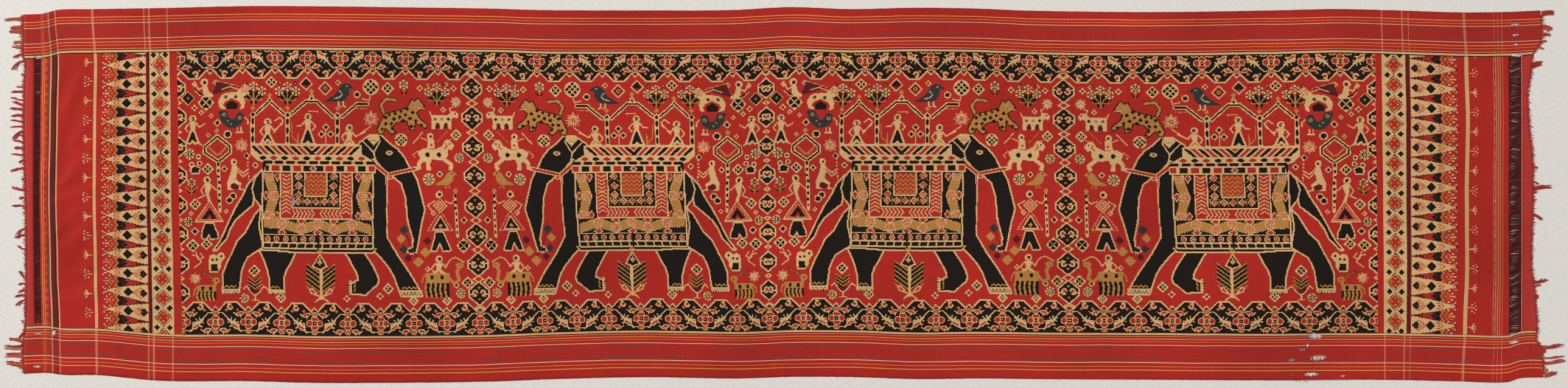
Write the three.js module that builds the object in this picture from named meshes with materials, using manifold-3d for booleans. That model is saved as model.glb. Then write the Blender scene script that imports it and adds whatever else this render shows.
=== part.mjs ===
// A flat silk ikat cloth with a thin, frayed fringe at each end, in millimetres.
// X runs along the warp, Y across it, and Z up from the surface the cloth lies on.
import * as THREE from 'three';
import { mergeVertices } from 'three/addons/utils/BufferGeometryUtils.js';
import Module from 'manifold-3d';

const wasm = await Module();
wasm.setup();

// Driving sizes
const CLOTH_THICK = 1.2;
const PIECE_GAP = 0.3;
const HALF_LENGTH = 2310;
const COLUMNS = 66;
const ROWS = 30;
const END_CLOSENESS = 0.3;
const HEADING_WIDTH = 6;
const LOCK_STEPS = 4;
const ROOT_SINK = 2;
const TIP_SHARE = 0.3;
const TIP_HEIGHT = 0.5;
const CUT_REACH = 8;

const RED_SILK = 0xa32b27;
const RED_YARN = 0x8f2420;

// Where the two selvedges run, at stations along the warp
const SELVEDGES = [
  { at: -2310, top: 547, bottom: -544 },
  { at: -2244, top: 551, bottom: -542 },
  { at: -2198, top: 562, bottom: -548 },
  { at: -2087, top: 564, bottom: -549 },
  { at: -1902, top: 567, bottom: -566 },
  { at: -1643, top: 573, bottom: -567 },
  { at: -1458, top: 573, bottom: -572 },
  { at: -1180, top: 570, bottom: -572 },
  { at: -903, top: 566, bottom: -568 },
  { at: -718, top: 561, bottom: -561 },
  { at: -440, top: 560, bottom: -555 },
  { at: -163, top: 561, bottom: -559 },
  { at: 22, top: 570, bottom: -554 },
  { at: 207, top: 564, bottom: -555 },
  { at: 392, top: 568, bottom: -561 },
  { at: 577, top: 566, bottom: -559 },
  { at: 762, top: 559, bottom: -561 },
  { at: 1132, top: 555, bottom: -563 },
  { at: 1502, top: 560, bottom: -565 },
  { at: 1687, top: 564, bottom: -563 },
  { at: 1872, top: 560, bottom: -564 },
  { at: 2057, top: 554, bottom: -568 },
  { at: 2196, top: 555, bottom: -571 },
  { at: 2242, top: 557, bottom: -558 },
  { at: 2316, top: 560, bottom: -556 },
];

// Where the last pick of weft lies at each end, at stations across the warp
const LEFT_END = [
  { at: -560, out: 2297 },
  { at: -525, out: 2309 },
  { at: -477, out: 2311 },
  { at: -426, out: 2307 },
  { at: -407, out: 2303 },
  { at: -314, out: 2300 },
  { at: -56, out: 2301 },
  { at: 37, out: 2303 },
  { at: 111, out: 2306 },
  { at: 222, out: 2308 },
  { at: 352, out: 2305 },
  { at: 385, out: 2302 },
  { at: 435, out: 2310 },
  { at: 500, out: 2311 },
  { at: 575, out: 2312 },
];
const RIGHT_END = [
  { at: -575, out: 2311 },
  { at: -503, out: 2303 },
  { at: -465, out: 2300 },
  { at: -445, out: 2284 },
  { at: -400, out: 2286 },
  { at: -333, out: 2281 },
  { at: -278, out: 2277 },
  { at: -222, out: 2268 },
  { at: -56, out: 2272 },
  { at: 102, out: 2272 },
  { at: 194, out: 2263 },
  { at: 240, out: 2259 },
  { at: 318, out: 2257 },
  { at: 352, out: 2264 },
  { at: 422, out: 2272 },
  { at: 441, out: 2282 },
  { at: 461, out: 2296 },
  { at: 509, out: 2300 },
  { at: 575, out: 2298 },
];

// Low ridges where the cloth doesn't lie down: middle, direction of the ridge in degrees,
// length along it, width across it and rise
const RIDGES = [
  { x: -2281, y: 20, turn: 90, long: 1000, wide: 44, rise: 3.2 },
  { x: -2210, y: -40, turn: 90, long: 960, wide: 70, rise: 1.8 },
  { x: -2060, y: 240, turn: 64, long: 420, wide: 90, rise: 3.4 },
  { x: -2075, y: -60, turn: 52, long: 380, wide: 85, rise: 2.6 },
  { x: -2050, y: -250, turn: 40, long: 330, wide: 90, rise: 3.0 },
  { x: -1900, y: 470, turn: -3, long: 620, wide: 110, rise: 2.2 },
  { x: -1500, y: -480, turn: 2, long: 700, wide: 120, rise: 2.4 },
  { x: -1250, y: 150, turn: 12, long: 520, wide: 180, rise: 1.8 },
  { x: -800, y: 455, turn: -4, long: 760, wide: 110, rise: 2.6 },
  { x: -620, y: -180, turn: -18, long: 480, wide: 170, rise: 1.7 },
  { x: -330, y: -505, turn: 3, long: 560, wide: 115, rise: 2.8 },
  { x: 260, y: 480, turn: 4, long: 640, wide: 120, rise: 2.3 },
  { x: 480, y: 120, turn: 24, long: 440, wide: 170, rise: 1.6 },
  { x: 640, y: -495, turn: -3, long: 520, wide: 110, rise: 2.1 },
  { x: 1050, y: 430, turn: -6, long: 620, wide: 130, rise: 2.7 },
  { x: 1330, y: -60, turn: -30, long: 420, wide: 160, rise: 1.9 },
  { x: 1480, y: -500, turn: 2, long: 600, wide: 120, rise: 2.9 },
  { x: 1880, y: 300, turn: -70, long: 400, wide: 120, rise: 2.2 },
  { x: 2070, y: -20, turn: -84, long: 520, wide: 85, rise: 3.1 },
  { x: 2110, y: -300, turn: -68, long: 360, wide: 90, rise: 2.6 },
  { x: 2236, y: 30, turn: 90, long: 980, wide: 46, rise: 3.0 },
];

// The band of bare warp near each end: where it lies, how far it reaches across the cloth,
// and the size and spread of the gaps between its bunched threads
const OPEN_WARPS = [
  { x: -2264, wide: 20, low: -395, high: 400, gaps: 17, gapWide: 5.4, shift: 11, lean: 1.6 },
  { x: 2222, wide: 30, low: -400, high: 395, gaps: 21, gapWide: 6.8, shift: 9, lean: 4.2 },
];

// Holes and slits that wear has opened: middle, length along X, width across, and lean
const HOLES = [
  { x: -2265, y: 419, long: 24, wide: 8, lean: 0 },
  { x: -2266, y: -423, long: 20, wide: 5, lean: 0.5 },
  { x: -2221, y: -419, long: 17, wide: 12, lean: -1 },
  { x: -2270, y: -523, long: 23, wide: 6, lean: 0 },
  { x: -1492, y: -21, long: 9, wide: 35, lean: 1 },
  { x: 2226, y: 423, long: 33, wide: 8, lean: 0 },
  { x: 2223, y: 409, long: 26, wide: 4.5, lean: 1 },
  { x: 2222, y: 517, long: 26, wide: 4.5, lean: 1 },
  { x: 2223, y: 486, long: 20, wide: 4.5, lean: 2 },
  { x: 2222, y: 456, long: 18, wide: 4.5, lean: 1 },
  { x: 2219, y: -449, long: 30, wide: 8, lean: 5 },
  { x: 1613, y: -430, long: 40, wide: 17, lean: -3 },
  { x: 1622, y: -497, long: 52, wide: 14, lean: 5 },
  { x: 1603, y: -547, long: 44, wide: 9, lean: 2 },
  { x: 1543, y: -504, long: 20, wide: 8, lean: 0 },
  { x: 1591, y: -459, long: 9, wide: 6, lean: 0 },
  { x: 1572, y: -471, long: 20, wide: 4, lean: 0 },
  { x: 1543, y: -548, long: 11, wide: 4, lean: 0 },
  { x: 1698, y: -552, long: 12, wide: 4, lean: 0 },
];

// Loose ends, from the bottom selvedge to the top one: root place across the cloth, how far the
// tip stands out, how far it lies to the side, how far the strand bows, root width and height
const LEFT_LOCKS = [
  { y: -526, out: 40, aside: 9, bow: 3, wide: 9, high: 1.6 },
  { y: -515, out: 52, aside: 4, bow: -2, wide: 12, high: 1.8 },
  { y: -490, out: 55, aside: 1, bow: 3, wide: 16, high: 2.0 },
  { y: -463, out: 58, aside: 0, bow: -5, wide: 15, high: 2.2 },
  { y: -448, out: 44, aside: 8, bow: 4, wide: 10, high: 1.8 },
  { y: -420, out: 21, aside: -22, bow: 10, wide: 8, high: 2.4 },
  { y: -392, out: 16, aside: 10, bow: -5, wide: 3, high: 1.4 },
  { y: -372, out: 6, aside: 2, bow: 0, wide: 8, high: 1.4 },
  { y: -350, out: 8, aside: 3, bow: 1, wide: 8, high: 1.4 },
  { y: -322, out: 34, aside: -15, bow: 12, wide: 4, high: 1.8 },
  { y: -310, out: 38, aside: 0, bow: 8, wide: 7, high: 2.0 },
  { y: -293, out: 27, aside: -4, bow: 9, wide: 6, high: 2.0 },
  { y: -277, out: 25, aside: 3, bow: 10, wide: 5, high: 1.8 },
  { y: -257, out: 24, aside: 24, bow: -8, wide: 4, high: 1.6 },
  { y: -216, out: 7, aside: 4, bow: 0, wide: 4, high: 1.4 },
  { y: -164, out: 32, aside: 9, bow: -10, wide: 4, high: 1.6 },
  { y: -124, out: 37, aside: -8, bow: 8, wide: 6, high: 1.8 },
  { y: -103, out: 34, aside: -19, bow: 12, wide: 4, high: 1.6 },
  { y: -60, out: 10, aside: 5, bow: 2, wide: 5, high: 1.4 },
  { y: -38, out: 44, aside: 2, bow: 7, wide: 6, high: 1.8 },
  { y: -16, out: 22, aside: 4, bow: 9, wide: 7, high: 1.8 },
  { y: 14, out: 43, aside: 8, bow: -4, wide: 8, high: 1.8 },
  { y: 44, out: 12, aside: 3, bow: 2, wide: 9, high: 1.4 },
  { y: 80, out: 44, aside: -8, bow: 4, wide: 7, high: 1.8 },
  { y: 104, out: 20, aside: -7, bow: 6, wide: 5, high: 1.6 },
  { y: 121, out: 40, aside: 2, bow: -3, wide: 6, high: 2.0 },
  { y: 138, out: 31, aside: 3, bow: 5, wide: 9, high: 2.2 },
  { y: 156, out: 34, aside: 8, bow: 4, wide: 6, high: 2.0 },
  { y: 174, out: 18, aside: 6, bow: 4, wide: 4, high: 1.6 },
  { y: 192, out: 37, aside: -22, bow: 14, wide: 6, high: 1.8 },
  { y: 206, out: 44, aside: 0, bow: 3, wide: 5, high: 1.6 },
  { y: 221, out: 41, aside: 5, bow: -1, wide: 6, high: 1.6 },
  { y: 239, out: 38, aside: 0, bow: 4, wide: 9, high: 2.2 },
  { y: 257, out: 44, aside: 4, bow: 3, wide: 8, high: 2.2 },
  { y: 271, out: 38, aside: 12, bow: -2, wide: 6, high: 1.8 },
  { y: 287, out: 44, aside: 8, bow: -3, wide: 4, high: 1.6 },
  { y: 311, out: 41, aside: 0, bow: 4, wide: 7, high: 2.0 },
  { y: 324, out: 28, aside: 3, bow: 3, wide: 5, high: 1.8 },
  { y: 361, out: 12, aside: 4, bow: -4, wide: 6, high: 1.4 },
  { y: 404, out: 44, aside: -24, bow: 20, wide: 4, high: 1.8 },
  { y: 428, out: 33, aside: -11, bow: 5, wide: 7, high: 2.8 },
  { y: 449, out: 34, aside: 3, bow: -2, wide: 12, high: 2.0 },
  { y: 463, out: 30, aside: 0, bow: 2, wide: 10, high: 2.0 },
  { y: 493, out: 42, aside: 3, bow: 3, wide: 12, high: 1.8 },
  { y: 507, out: 40, aside: 0, bow: 3, wide: 11, high: 1.8 },
  { y: 532, out: 56, aside: -1, bow: 4, wide: 10, high: 1.6 },
];
const RIGHT_LOCKS = [
  { y: -551, out: 40, aside: 8, bow: -2, wide: 14, high: 1.6 },
  { y: -533, out: 14, aside: -3, bow: 0, wide: 14, high: 1.4 },
  { y: -514, out: 70, aside: 10, bow: -4, wide: 9, high: 1.8 },
  { y: -497, out: 68, aside: 4, bow: -5, wide: 6, high: 1.8 },
  { y: -478, out: 12, aside: 4, bow: 0, wide: 14, high: 1.6 },
  { y: -463, out: 72, aside: 6, bow: -8, wide: 11, high: 2.2 },
  { y: -408, out: 6, aside: 2, bow: 0, wide: 9, high: 1.4 },
  { y: -314, out: 12, aside: 3, bow: 2, wide: 14, high: 1.8 },
  { y: -282, out: 22, aside: 6, bow: 3, wide: 5, high: 1.6 },
  { y: -264, out: 46, aside: 5, bow: -9, wide: 9, high: 2.0 },
  { y: -84, out: 8, aside: -1, bow: 0, wide: 5, high: 1.4 },
  { y: -62, out: 32, aside: -12, bow: 6, wide: 11, high: 2.0 },
  { y: -22, out: 13, aside: 6, bow: 4, wide: 5, high: 1.6 },
  { y: 4, out: 14, aside: 4, bow: 3, wide: 7, high: 1.8 },
  { y: 17, out: 60, aside: 6, bow: 5, wide: 13, high: 2.4 },
  { y: 40, out: 20, aside: -8, bow: 3, wide: 4, high: 1.6 },
  { y: 84, out: 16, aside: -4, bow: 3, wide: 7, high: 1.8 },
  { y: 213, out: 8, aside: -5, bow: 2, wide: 4, high: 1.4 },
  { y: 262, out: 7, aside: -3, bow: 2, wide: 4, high: 1.4 },
  { y: 391, out: 36, aside: 8, bow: 2, wide: 18, high: 2.0 },
  { y: 446, out: 22, aside: -4, bow: 5, wide: 7, high: 1.8 },
  { y: 461, out: 20, aside: 6, bow: 3, wide: 9, high: 2.2 },
  { y: 483, out: 30, aside: 3, bow: 5, wide: 12, high: 2.2 },
  { y: 509, out: 34, aside: -9, bow: 6, wide: 17, high: 1.8 },
  { y: 549, out: 40, aside: 3, bow: 4, wide: 18, high: 1.8 },
];

function mix(a, b, share) {
  return a + (b - a) * share;
}

// The value of one column of a table at a place between its stations, on a smooth curve
function follow(rows, column, at) {
  let i = 1;
  while (i < rows.length - 1 && rows[i].at < at) i += 1;
  const slope = (j) => {
    const before = rows[Math.max(j - 1, 0)];
    const after = rows[Math.min(j + 1, rows.length - 1)];
    return (after[column] - before[column]) / (after.at - before.at);
  };
  const from = rows[i - 1];
  const to = rows[i];
  const span = to.at - from.at;
  const t = THREE.MathUtils.clamp((at - from.at) / span, 0, 1);
  const ease = t * t * (3 - 2 * t);
  const leave = t * (1 - t) * (1 - t) * span * slope(i - 1);
  const arrive = t * t * (t - 1) * span * slope(i);
  return mix(from[column], to[column], ease) + leave + arrive;
}

// How high the underside stands off the floor: nothing between the ridges
function rise(x, y) {
  let height = 0;
  for (const ridge of RIDGES) {
    const turn = THREE.MathUtils.degToRad(ridge.turn);
    const dx = x - ridge.x;
    const dy = y - ridge.y;
    const along = (dx * Math.cos(turn) + dy * Math.sin(turn)) / (ridge.long / 2);
    const across = (dy * Math.cos(turn) - dx * Math.sin(turn)) / (ridge.wide / 2);
    const inside = Math.max(0, 1 - along * along - across * across);
    height += ridge.rise * inside * inside;
  }
  return height;
}

// A share from one end to the other, with the steps closer together near both ends
function stepShare(i, steps) {
  const share = i / steps;
  return share - (END_CLOSENESS * Math.sin(2 * Math.PI * share)) / (2 * Math.PI);
}

function geometryOf(points, triangles) {
  const geometry = new THREE.BufferGeometry();
  geometry.setAttribute('position', new THREE.Float32BufferAttribute(points.flat(), 3));
  geometry.setIndex(triangles.flat());
  return geometry;
}

function solidOf(geometry) {
  const bare = geometry.clone();
  bare.deleteAttribute('normal');
  bare.deleteAttribute('uv');
  const merged = mergeVertices(bare);
  return new wasm.Manifold(new wasm.Mesh({
    numProp: 3,
    vertProperties: new Float32Array(merged.attributes.position.array),
    triVerts: new Uint32Array(merged.index.array),
  }));
}

function meshOf(name, solid, color) {
  const shape = solid.getMesh();
  const geometry = new THREE.BufferGeometry();
  geometry.setAttribute('position', new THREE.BufferAttribute(shape.vertProperties, 3));
  geometry.setIndex(new THREE.BufferAttribute(shape.triVerts, 1));
  geometry.computeVertexNormals();
  const material = new THREE.MeshStandardMaterial({ color, roughness: 0.62, metalness: 0 });
  const mesh = new THREE.Mesh(geometry, material);
  mesh.name = name;
  return mesh;
}

// A closed sheet over a grid of underside points: a floor skin, a top skin and the rim
function sheet(columns, rows, underside) {
  const points = [];
  for (const lift of [0, CLOTH_THICK]) {
    for (let i = 0; i <= columns; i += 1) {
      for (let j = 0; j <= rows; j += 1) {
        const [x, y, z] = underside(i, j);
        points.push([x, y, z + lift]);
      }
    }
  }
  const layer = (columns + 1) * (rows + 1);
  const at = (i, j, top) => top * layer + i * (rows + 1) + j;
  const triangles = [];
  for (let i = 0; i < columns; i += 1) {
    for (let j = 0; j < rows; j += 1) {
      const up = [at(i, j, 1), at(i + 1, j, 1), at(i + 1, j + 1, 1), at(i, j + 1, 1)];
      const down = [at(i, j, 0), at(i + 1, j, 0), at(i + 1, j + 1, 0), at(i, j + 1, 0)];
      triangles.push([up[0], up[1], up[2]], [up[0], up[2], up[3]]);
      triangles.push([down[0], down[2], down[1]], [down[0], down[3], down[2]]);
    }
  }
  const rim = [];
  for (let i = 0; i < columns; i += 1) rim.push([i, 0]);
  for (let j = 0; j < rows; j += 1) rim.push([columns, j]);
  for (let i = columns; i > 0; i -= 1) rim.push([i, rows]);
  for (let j = rows; j > 0; j -= 1) rim.push([0, j]);
  rim.forEach(([i, j], k) => {
    const [nextI, nextJ] = rim[(k + 1) % rim.length];
    const low = at(i, j, 0);
    const nextLow = at(nextI, nextJ, 0);
    triangles.push([low, nextLow, nextLow + layer], [low, nextLow + layer, low + layer]);
  });
  return solidOf(geometryOf(points, triangles));
}

// A point of the cloth's underside, from its shares along and across
function clothPoint(alongShare, acrossShare) {
  const x = mix(-HALF_LENGTH, HALF_LENGTH, alongShare);
  const y = mix(follow(SELVEDGES, 'bottom', x), follow(SELVEDGES, 'top', x), acrossShare);
  const left = -follow(LEFT_END, 'out', y);
  const right = follow(RIGHT_END, 'out', y);
  const placed = mix(left, right, alongShare);
  return [placed, y, rise(placed, y)];
}

// A slit between threads, pointed at both ends, as a cutter that passes right through
function slit(x, y, long, wide, lean) {
  const outline = new THREE.Shape();
  outline.moveTo(-long / 2, -lean / 2);
  outline.lineTo(-long / 5, -wide / 2);
  outline.lineTo(long / 4, -wide / 2.4);
  outline.lineTo(long / 2, lean / 2);
  outline.lineTo(long / 5, wide / 2);
  outline.lineTo(-long / 4, wide / 2.4);
  const depth = 2 * CUT_REACH;
  const cutter = new THREE.ExtrudeGeometry(outline, { depth, bevelEnabled: false });
  cutter.translate(x, y, -CUT_REACH / 2);
  return solidOf(cutter);
}

// The slits of one band of bare warp, as unevenly spread as threads that have slipped
function openWarpSlits(band) {
  const pitch = (band.high - band.low) / band.gaps;
  return Array.from({ length: band.gaps }, (unused, i) => {
    const y = band.low + pitch * (i + 0.5) + band.shift * Math.sin(2.4 * i + 1);
    const wide = band.gapWide * (1 + 0.3 * Math.sin(1.7 * i));
    const long = band.wide * (0.9 + 0.1 * Math.cos(2.9 * i));
    return slit(band.x, y, long, wide, band.lean * Math.sin(1.1 * i));
  });
}

// How far out the heading begins at a place across the cloth, on the straight runs of its rows
function headingStart(side, endTable, y) {
  const low = follow(SELVEDGES, 'bottom', side * HALF_LENGTH);
  const high = follow(SELVEDGES, 'top', side * HALF_LENGTH);
  const row = ((y - low) / (high - low)) * ROWS;
  const below = Math.floor(row);
  const outAt = (j) => follow(endTable, 'out', mix(low, high, j / ROWS));
  return mix(outAt(below), outAt(below + 1), row - below) + PIECE_GAP;
}

// One loose lock: three-sided, lying level on the floor, from its root in the heading to its tip
function lock(row, side, endTable) {
  const rootX = side * (headingStart(side, endTable, row.y) + HEADING_WIDTH - ROOT_SINK);
  const path = new THREE.QuadraticBezierCurve(
    new THREE.Vector2(rootX, row.y),
    new THREE.Vector2(rootX + (side * row.out) / 2, row.y + row.aside / 2 + row.bow),
    new THREE.Vector2(rootX + side * row.out, row.y + row.aside),
  );
  const points = [];
  for (let k = 0; k <= LOCK_STEPS; k += 1) {
    const share = k / LOCK_STEPS;
    const middle = path.getPoint(share);
    const heading = path.getTangent(share);
    const half = (row.wide / 2) * mix(1, TIP_SHARE, share);
    const ridge = mix(row.high, TIP_HEIGHT, share * share);
    points.push([middle.x + heading.y * half, middle.y - heading.x * half, 0]);
    points.push([middle.x - heading.y * half, middle.y + heading.x * half, 0]);
    points.push([middle.x, middle.y, ridge]);
  }
  const triangles = [[0, 2, 1]];
  for (let k = 0; k < LOCK_STEPS; k += 1) {
    for (let side3 = 0; side3 < 3; side3 += 1) {
      const a = 3 * k + side3;
      const b = 3 * k + ((side3 + 1) % 3);
      triangles.push([a, b, b + 3], [a, b + 3, a + 3]);
    }
  }
  const last = 3 * LOCK_STEPS;
  triangles.push([last, last + 1, last + 2]);
  return solidOf(geometryOf(points, triangles));
}

// The last few picks of weft, parted from the cloth, with the loose locks rooted in them
function fringe(side, endTable, rows) {
  const low = follow(SELVEDGES, 'bottom', side * HALF_LENGTH);
  const high = follow(SELVEDGES, 'top', side * HALF_LENGTH);
  const heading = sheet(1, ROWS, (i, j) => {
    const y = mix(low, high, j / ROWS);
    const inner = headingStart(side, endTable, y);
    const near = side > 0 ? i : 1 - i;
    return [side * (inner + near * HEADING_WIDTH), y, 0];
  });
  return rows.reduce((joined, row) => joined.add(lock(row, side, endTable)), heading);
}

const grid = (i, j) => clothPoint(stepShare(i, COLUMNS), j / ROWS);
const cuts = [
  ...OPEN_WARPS.flatMap(openWarpSlits),
  ...HOLES.map((hole) => slit(hole.x, hole.y, hole.long, hole.wide, hole.lean)),
];
const woven = cuts.reduce((cloth, cut) => cloth.subtract(cut), sheet(COLUMNS, ROWS, grid));

const ikatCloth = new THREE.Group();
ikatCloth.add(meshOf('cloth', woven, RED_SILK));
ikatCloth.add(meshOf('fringe_left', fringe(-1, LEFT_END, LEFT_LOCKS), RED_YARN));
ikatCloth.add(meshOf('fringe_right', fringe(1, RIGHT_END, RIGHT_LOCKS), RED_YARN));

export default ikatCloth;
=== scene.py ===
import bpy
import numpy as np
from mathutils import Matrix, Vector


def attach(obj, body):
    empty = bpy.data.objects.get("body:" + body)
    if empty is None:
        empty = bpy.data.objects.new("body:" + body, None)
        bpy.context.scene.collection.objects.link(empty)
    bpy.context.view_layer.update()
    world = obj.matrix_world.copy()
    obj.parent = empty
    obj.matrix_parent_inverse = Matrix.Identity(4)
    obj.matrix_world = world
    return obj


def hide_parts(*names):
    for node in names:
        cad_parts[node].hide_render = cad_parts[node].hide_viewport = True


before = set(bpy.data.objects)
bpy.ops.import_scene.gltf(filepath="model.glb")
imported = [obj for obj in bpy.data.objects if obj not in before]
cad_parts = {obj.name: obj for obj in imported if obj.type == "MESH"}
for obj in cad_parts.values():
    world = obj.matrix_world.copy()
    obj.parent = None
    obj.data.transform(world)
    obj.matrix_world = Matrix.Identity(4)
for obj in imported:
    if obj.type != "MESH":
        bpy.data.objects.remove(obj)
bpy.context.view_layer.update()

MM = 0.001
rng = np.random.default_rng(11)

# The silk's colours as sRGB hex, from the photo
DYES = {
    "red": 0xA3231B,
    "cream": 0xC69E6A,
    "black": 0x16100C,
    "maroon": 0x50161A,
    "gold": 0xA87438,
    "teal": 0x26302F,
    "rust": 0xAB492B,
}
DYE_NUMBER = {name: number for number, name in enumerate(DYES, start=1)}
ORANGE = 0xC86A35
YELLOW = 0xCA8240
PALE_PINK = 0xD09A7A
GREY_BROWN = 0x54423A
BROWN = 0x4A2220
FADED_RED = 0xA8322B
WOVEN_CREAM = 0xD59A72
TAN = 0xC08060
DULL_GOLD = 0xC49A68
DARK_BROWN = 0x2C1416
SALMON = 0xC9705C
BRICK = 0xA0402F
ROSE = 0xD08068

# The loom's plan: faces of the sheet along and across, four dyed cells to a face each way
CELLS = 4
# Eight cells are packed in one number, a digit to a cell, and the seven dyes are digits 1 to 7
PACK_BASE = 8
LEFT_FACES = 50
PANEL_FACES = 96
PANELS = 4
RIGHT_FACES = 54
FIELD_FACES = PANEL_FACES * PANELS
COLUMNS = LEFT_FACES + FIELD_FACES + RIGHT_FACES
TOP_ROWS = 15
FIELD_ROWS = 91
BOTTOM_ROWS = 16
ROWS = TOP_ROWS + FIELD_ROWS + BOTTOM_ROWS
TOP_BORDER = 135
BOTTOM_BORDER = 143
CLOTH_THICK = 1.2

# Cells in one tied unit of the charts, which is 3.5 mm of cloth
UNIT = 1.5
# The width of a panel and the depth of the field, in tied units
PANEL_WIDE = 256
FIELD_HIGH = 243

# Where the two selvedges run: place along the warp, top edge, bottom edge
SELVEDGES = [
    (-2310, 547, -544),
    (-2244, 551, -542),
    (-2198, 562, -548),
    (-2087, 564, -549),
    (-1902, 567, -566),
    (-1643, 573, -567),
    (-1458, 573, -572),
    (-1180, 570, -572),
    (-903, 566, -568),
    (-718, 561, -561),
    (-440, 560, -555),
    (-163, 561, -559),
    (22, 570, -554),
    (207, 564, -555),
    (392, 568, -561),
    (577, 566, -559),
    (762, 559, -561),
    (1132, 555, -563),
    (1502, 560, -565),
    (1687, 564, -563),
    (1872, 560, -564),
    (2057, 554, -568),
    (2196, 555, -571),
    (2242, 557, -558),
    (2316, 560, -556),
]

# Where the last pick of weft lies at each end: place across the cloth, distance out
LEFT_END = [
    (-560, 2297),
    (-525, 2309),
    (-477, 2311),
    (-426, 2307),
    (-407, 2303),
    (-314, 2300),
    (-56, 2301),
    (37, 2303),
    (111, 2306),
    (222, 2308),
    (352, 2305),
    (385, 2302),
    (435, 2310),
    (500, 2311),
    (575, 2312),
]
RIGHT_END = [
    (-575, 2311),
    (-503, 2303),
    (-465, 2300),
    (-445, 2284),
    (-400, 2286),
    (-333, 2281),
    (-278, 2277),
    (-222, 2268),
    (-56, 2272),
    (102, 2272),
    (194, 2263),
    (240, 2259),
    (318, 2257),
    (352, 2264),
    (422, 2272),
    (441, 2282),
    (461, 2296),
    (509, 2300),
    (575, 2298),
]

# Where each line of the plan was beaten in: column of the plan, place along the warp
PICK_PLACES = [
    (0, -2307),
    (LEFT_FACES, -1841),
    (LEFT_FACES + PANEL_FACES, -943),
    (LEFT_FACES + 2 * PANEL_FACES, -54),
    (LEFT_FACES + 3 * PANEL_FACES, 853),
    (LEFT_FACES + 4 * PANEL_FACES, 1802),
    (COLUMNS, 2306),
]

# How far the picks lean off square: place along, then the shift at the heights in SWAY_AT
SWAY_AT = (555, 398, 222, 0, -222, -400, -555)
SWAY = [
    (-2306, 0, 0, 0, 0, 0, 0, 0),
    (-2215, -7, 4, 0, -4, 1, 8, 10),
    (-2025, -6, 2, 0, 0, 3, 5, 6),
    (-1841, -7, -4, 0, 2, 8, 12, 12),
    (-943, -9, -8, -5, 4, 14, 21, 22),
    (-54, -3, -1, 0, 3, 6, 11, 12),
    (853, -6, -5, -3, 3, 10, 15, 16),
    (1802, -8, -5, -3, 0, 2, 3, 3),
    (2072, -6, 2, 7, 3, 4, -2, -9),
    (2250, 0, 0, 0, 0, 0, 0, 0),
    (2306, 0, 0, 0, 0, 0, 0, 0),
]

# Low ridges where the cloth doesn't lie down: middle x and y, turn in degrees, length, width, rise
RIDGES = [
    (-2281, 20, 90, 1000, 44, 3.2),
    (-2210, -40, 90, 960, 70, 1.8),
    (-2060, 240, 64, 420, 90, 3.4),
    (-2075, -60, 52, 380, 85, 2.6),
    (-2050, -250, 40, 330, 90, 3.0),
    (-1900, 470, -3, 620, 110, 2.2),
    (-1500, -480, 2, 700, 120, 2.4),
    (-1250, 150, 12, 520, 180, 1.8),
    (-800, 455, -4, 760, 110, 2.6),
    (-620, -180, -18, 480, 170, 1.7),
    (-330, -505, 3, 560, 115, 2.8),
    (260, 480, 4, 640, 120, 2.3),
    (480, 120, 24, 440, 170, 1.6),
    (640, -495, -3, 520, 110, 2.1),
    (1050, 430, -6, 620, 130, 2.7),
    (1330, -60, -30, 420, 160, 1.9),
    (1480, -500, 2, 600, 120, 2.9),
    (1880, 300, -70, 400, 120, 2.2),
    (2070, -20, -84, 520, 85, 3.1),
    (2110, -300, -68, 360, 90, 2.6),
    (2236, 30, 90, 980, 46, 3.0),
]

# Soft light shows the creases only when they are drawn a little deeper than in the solids
CREASE_DEPTH = 1.7
# Soft creases pressed in by folding and hanging: from x, y to x, y, width, depth (a ridge if below 0)
CREASES = [
    (-2168, 368, -2200, 285, 26, 1.5),
    (-2150, 372, -2158, 368, 22, 0.8),
    (-2132, 285, -2208, 60, 34, 1.6),
    (-2080, 290, -2110, 150, 40, 1.0),
    (-2132, 155, -2214, 40, 30, 1.4),
    (-2110, 42, -2215, 4, 26, 1.8),
    (-2145, 52, -2080, 80, 30, 0.9),
    (-2128, -78, -2196, -133, 28, 1.5),
    (-2092, -90, -2150, -210, 36, 1.0),
    (-2100, -250, -2196, -300, 30, 1.2),
    (-2070, -330, -2170, -400, 34, 0.9),
    (2078, -110, 2100, -176, 18, 1.8),
    (2100, -176, 2110, -252, 18, 1.6),
    (2124, -166, 2146, -204, 18, 1.2),
    (2078, -250, 2122, -278, 18, 1.2),
    (2130, 120, 2118, -60, 34, 1.0),
    (2118, -60, 2140, -390, 40, 0.9),
    (2066, 40, 2090, -60, 30, 0.9),
    (2132, 330, 2140, 180, 30, 0.9),
    (2108, 260, 2128, 40, 46, -0.9),
    (2178, 400, 2184, -380, 26, -0.7),
    (-1960, 250, -1905, 120, 60, 0.8),
    (-1700, -20, -1450, -60, 70, 0.7),
    (-1200, 330, -900, 250, 90, 0.7),
    (-600, 20, -380, -90, 80, 0.7),
    (90, 260, 320, 200, 90, 0.7),
    (520, -180, 760, -240, 80, 0.7),
    (1150, 180, 1360, 120, 80, 0.7),
    (1500, -220, 1700, -180, 70, 0.8),
    (1560, -440, 1640, -500, 26, 1.6),
    (1530, -520, 1700, -540, 30, 1.2),
]

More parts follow.
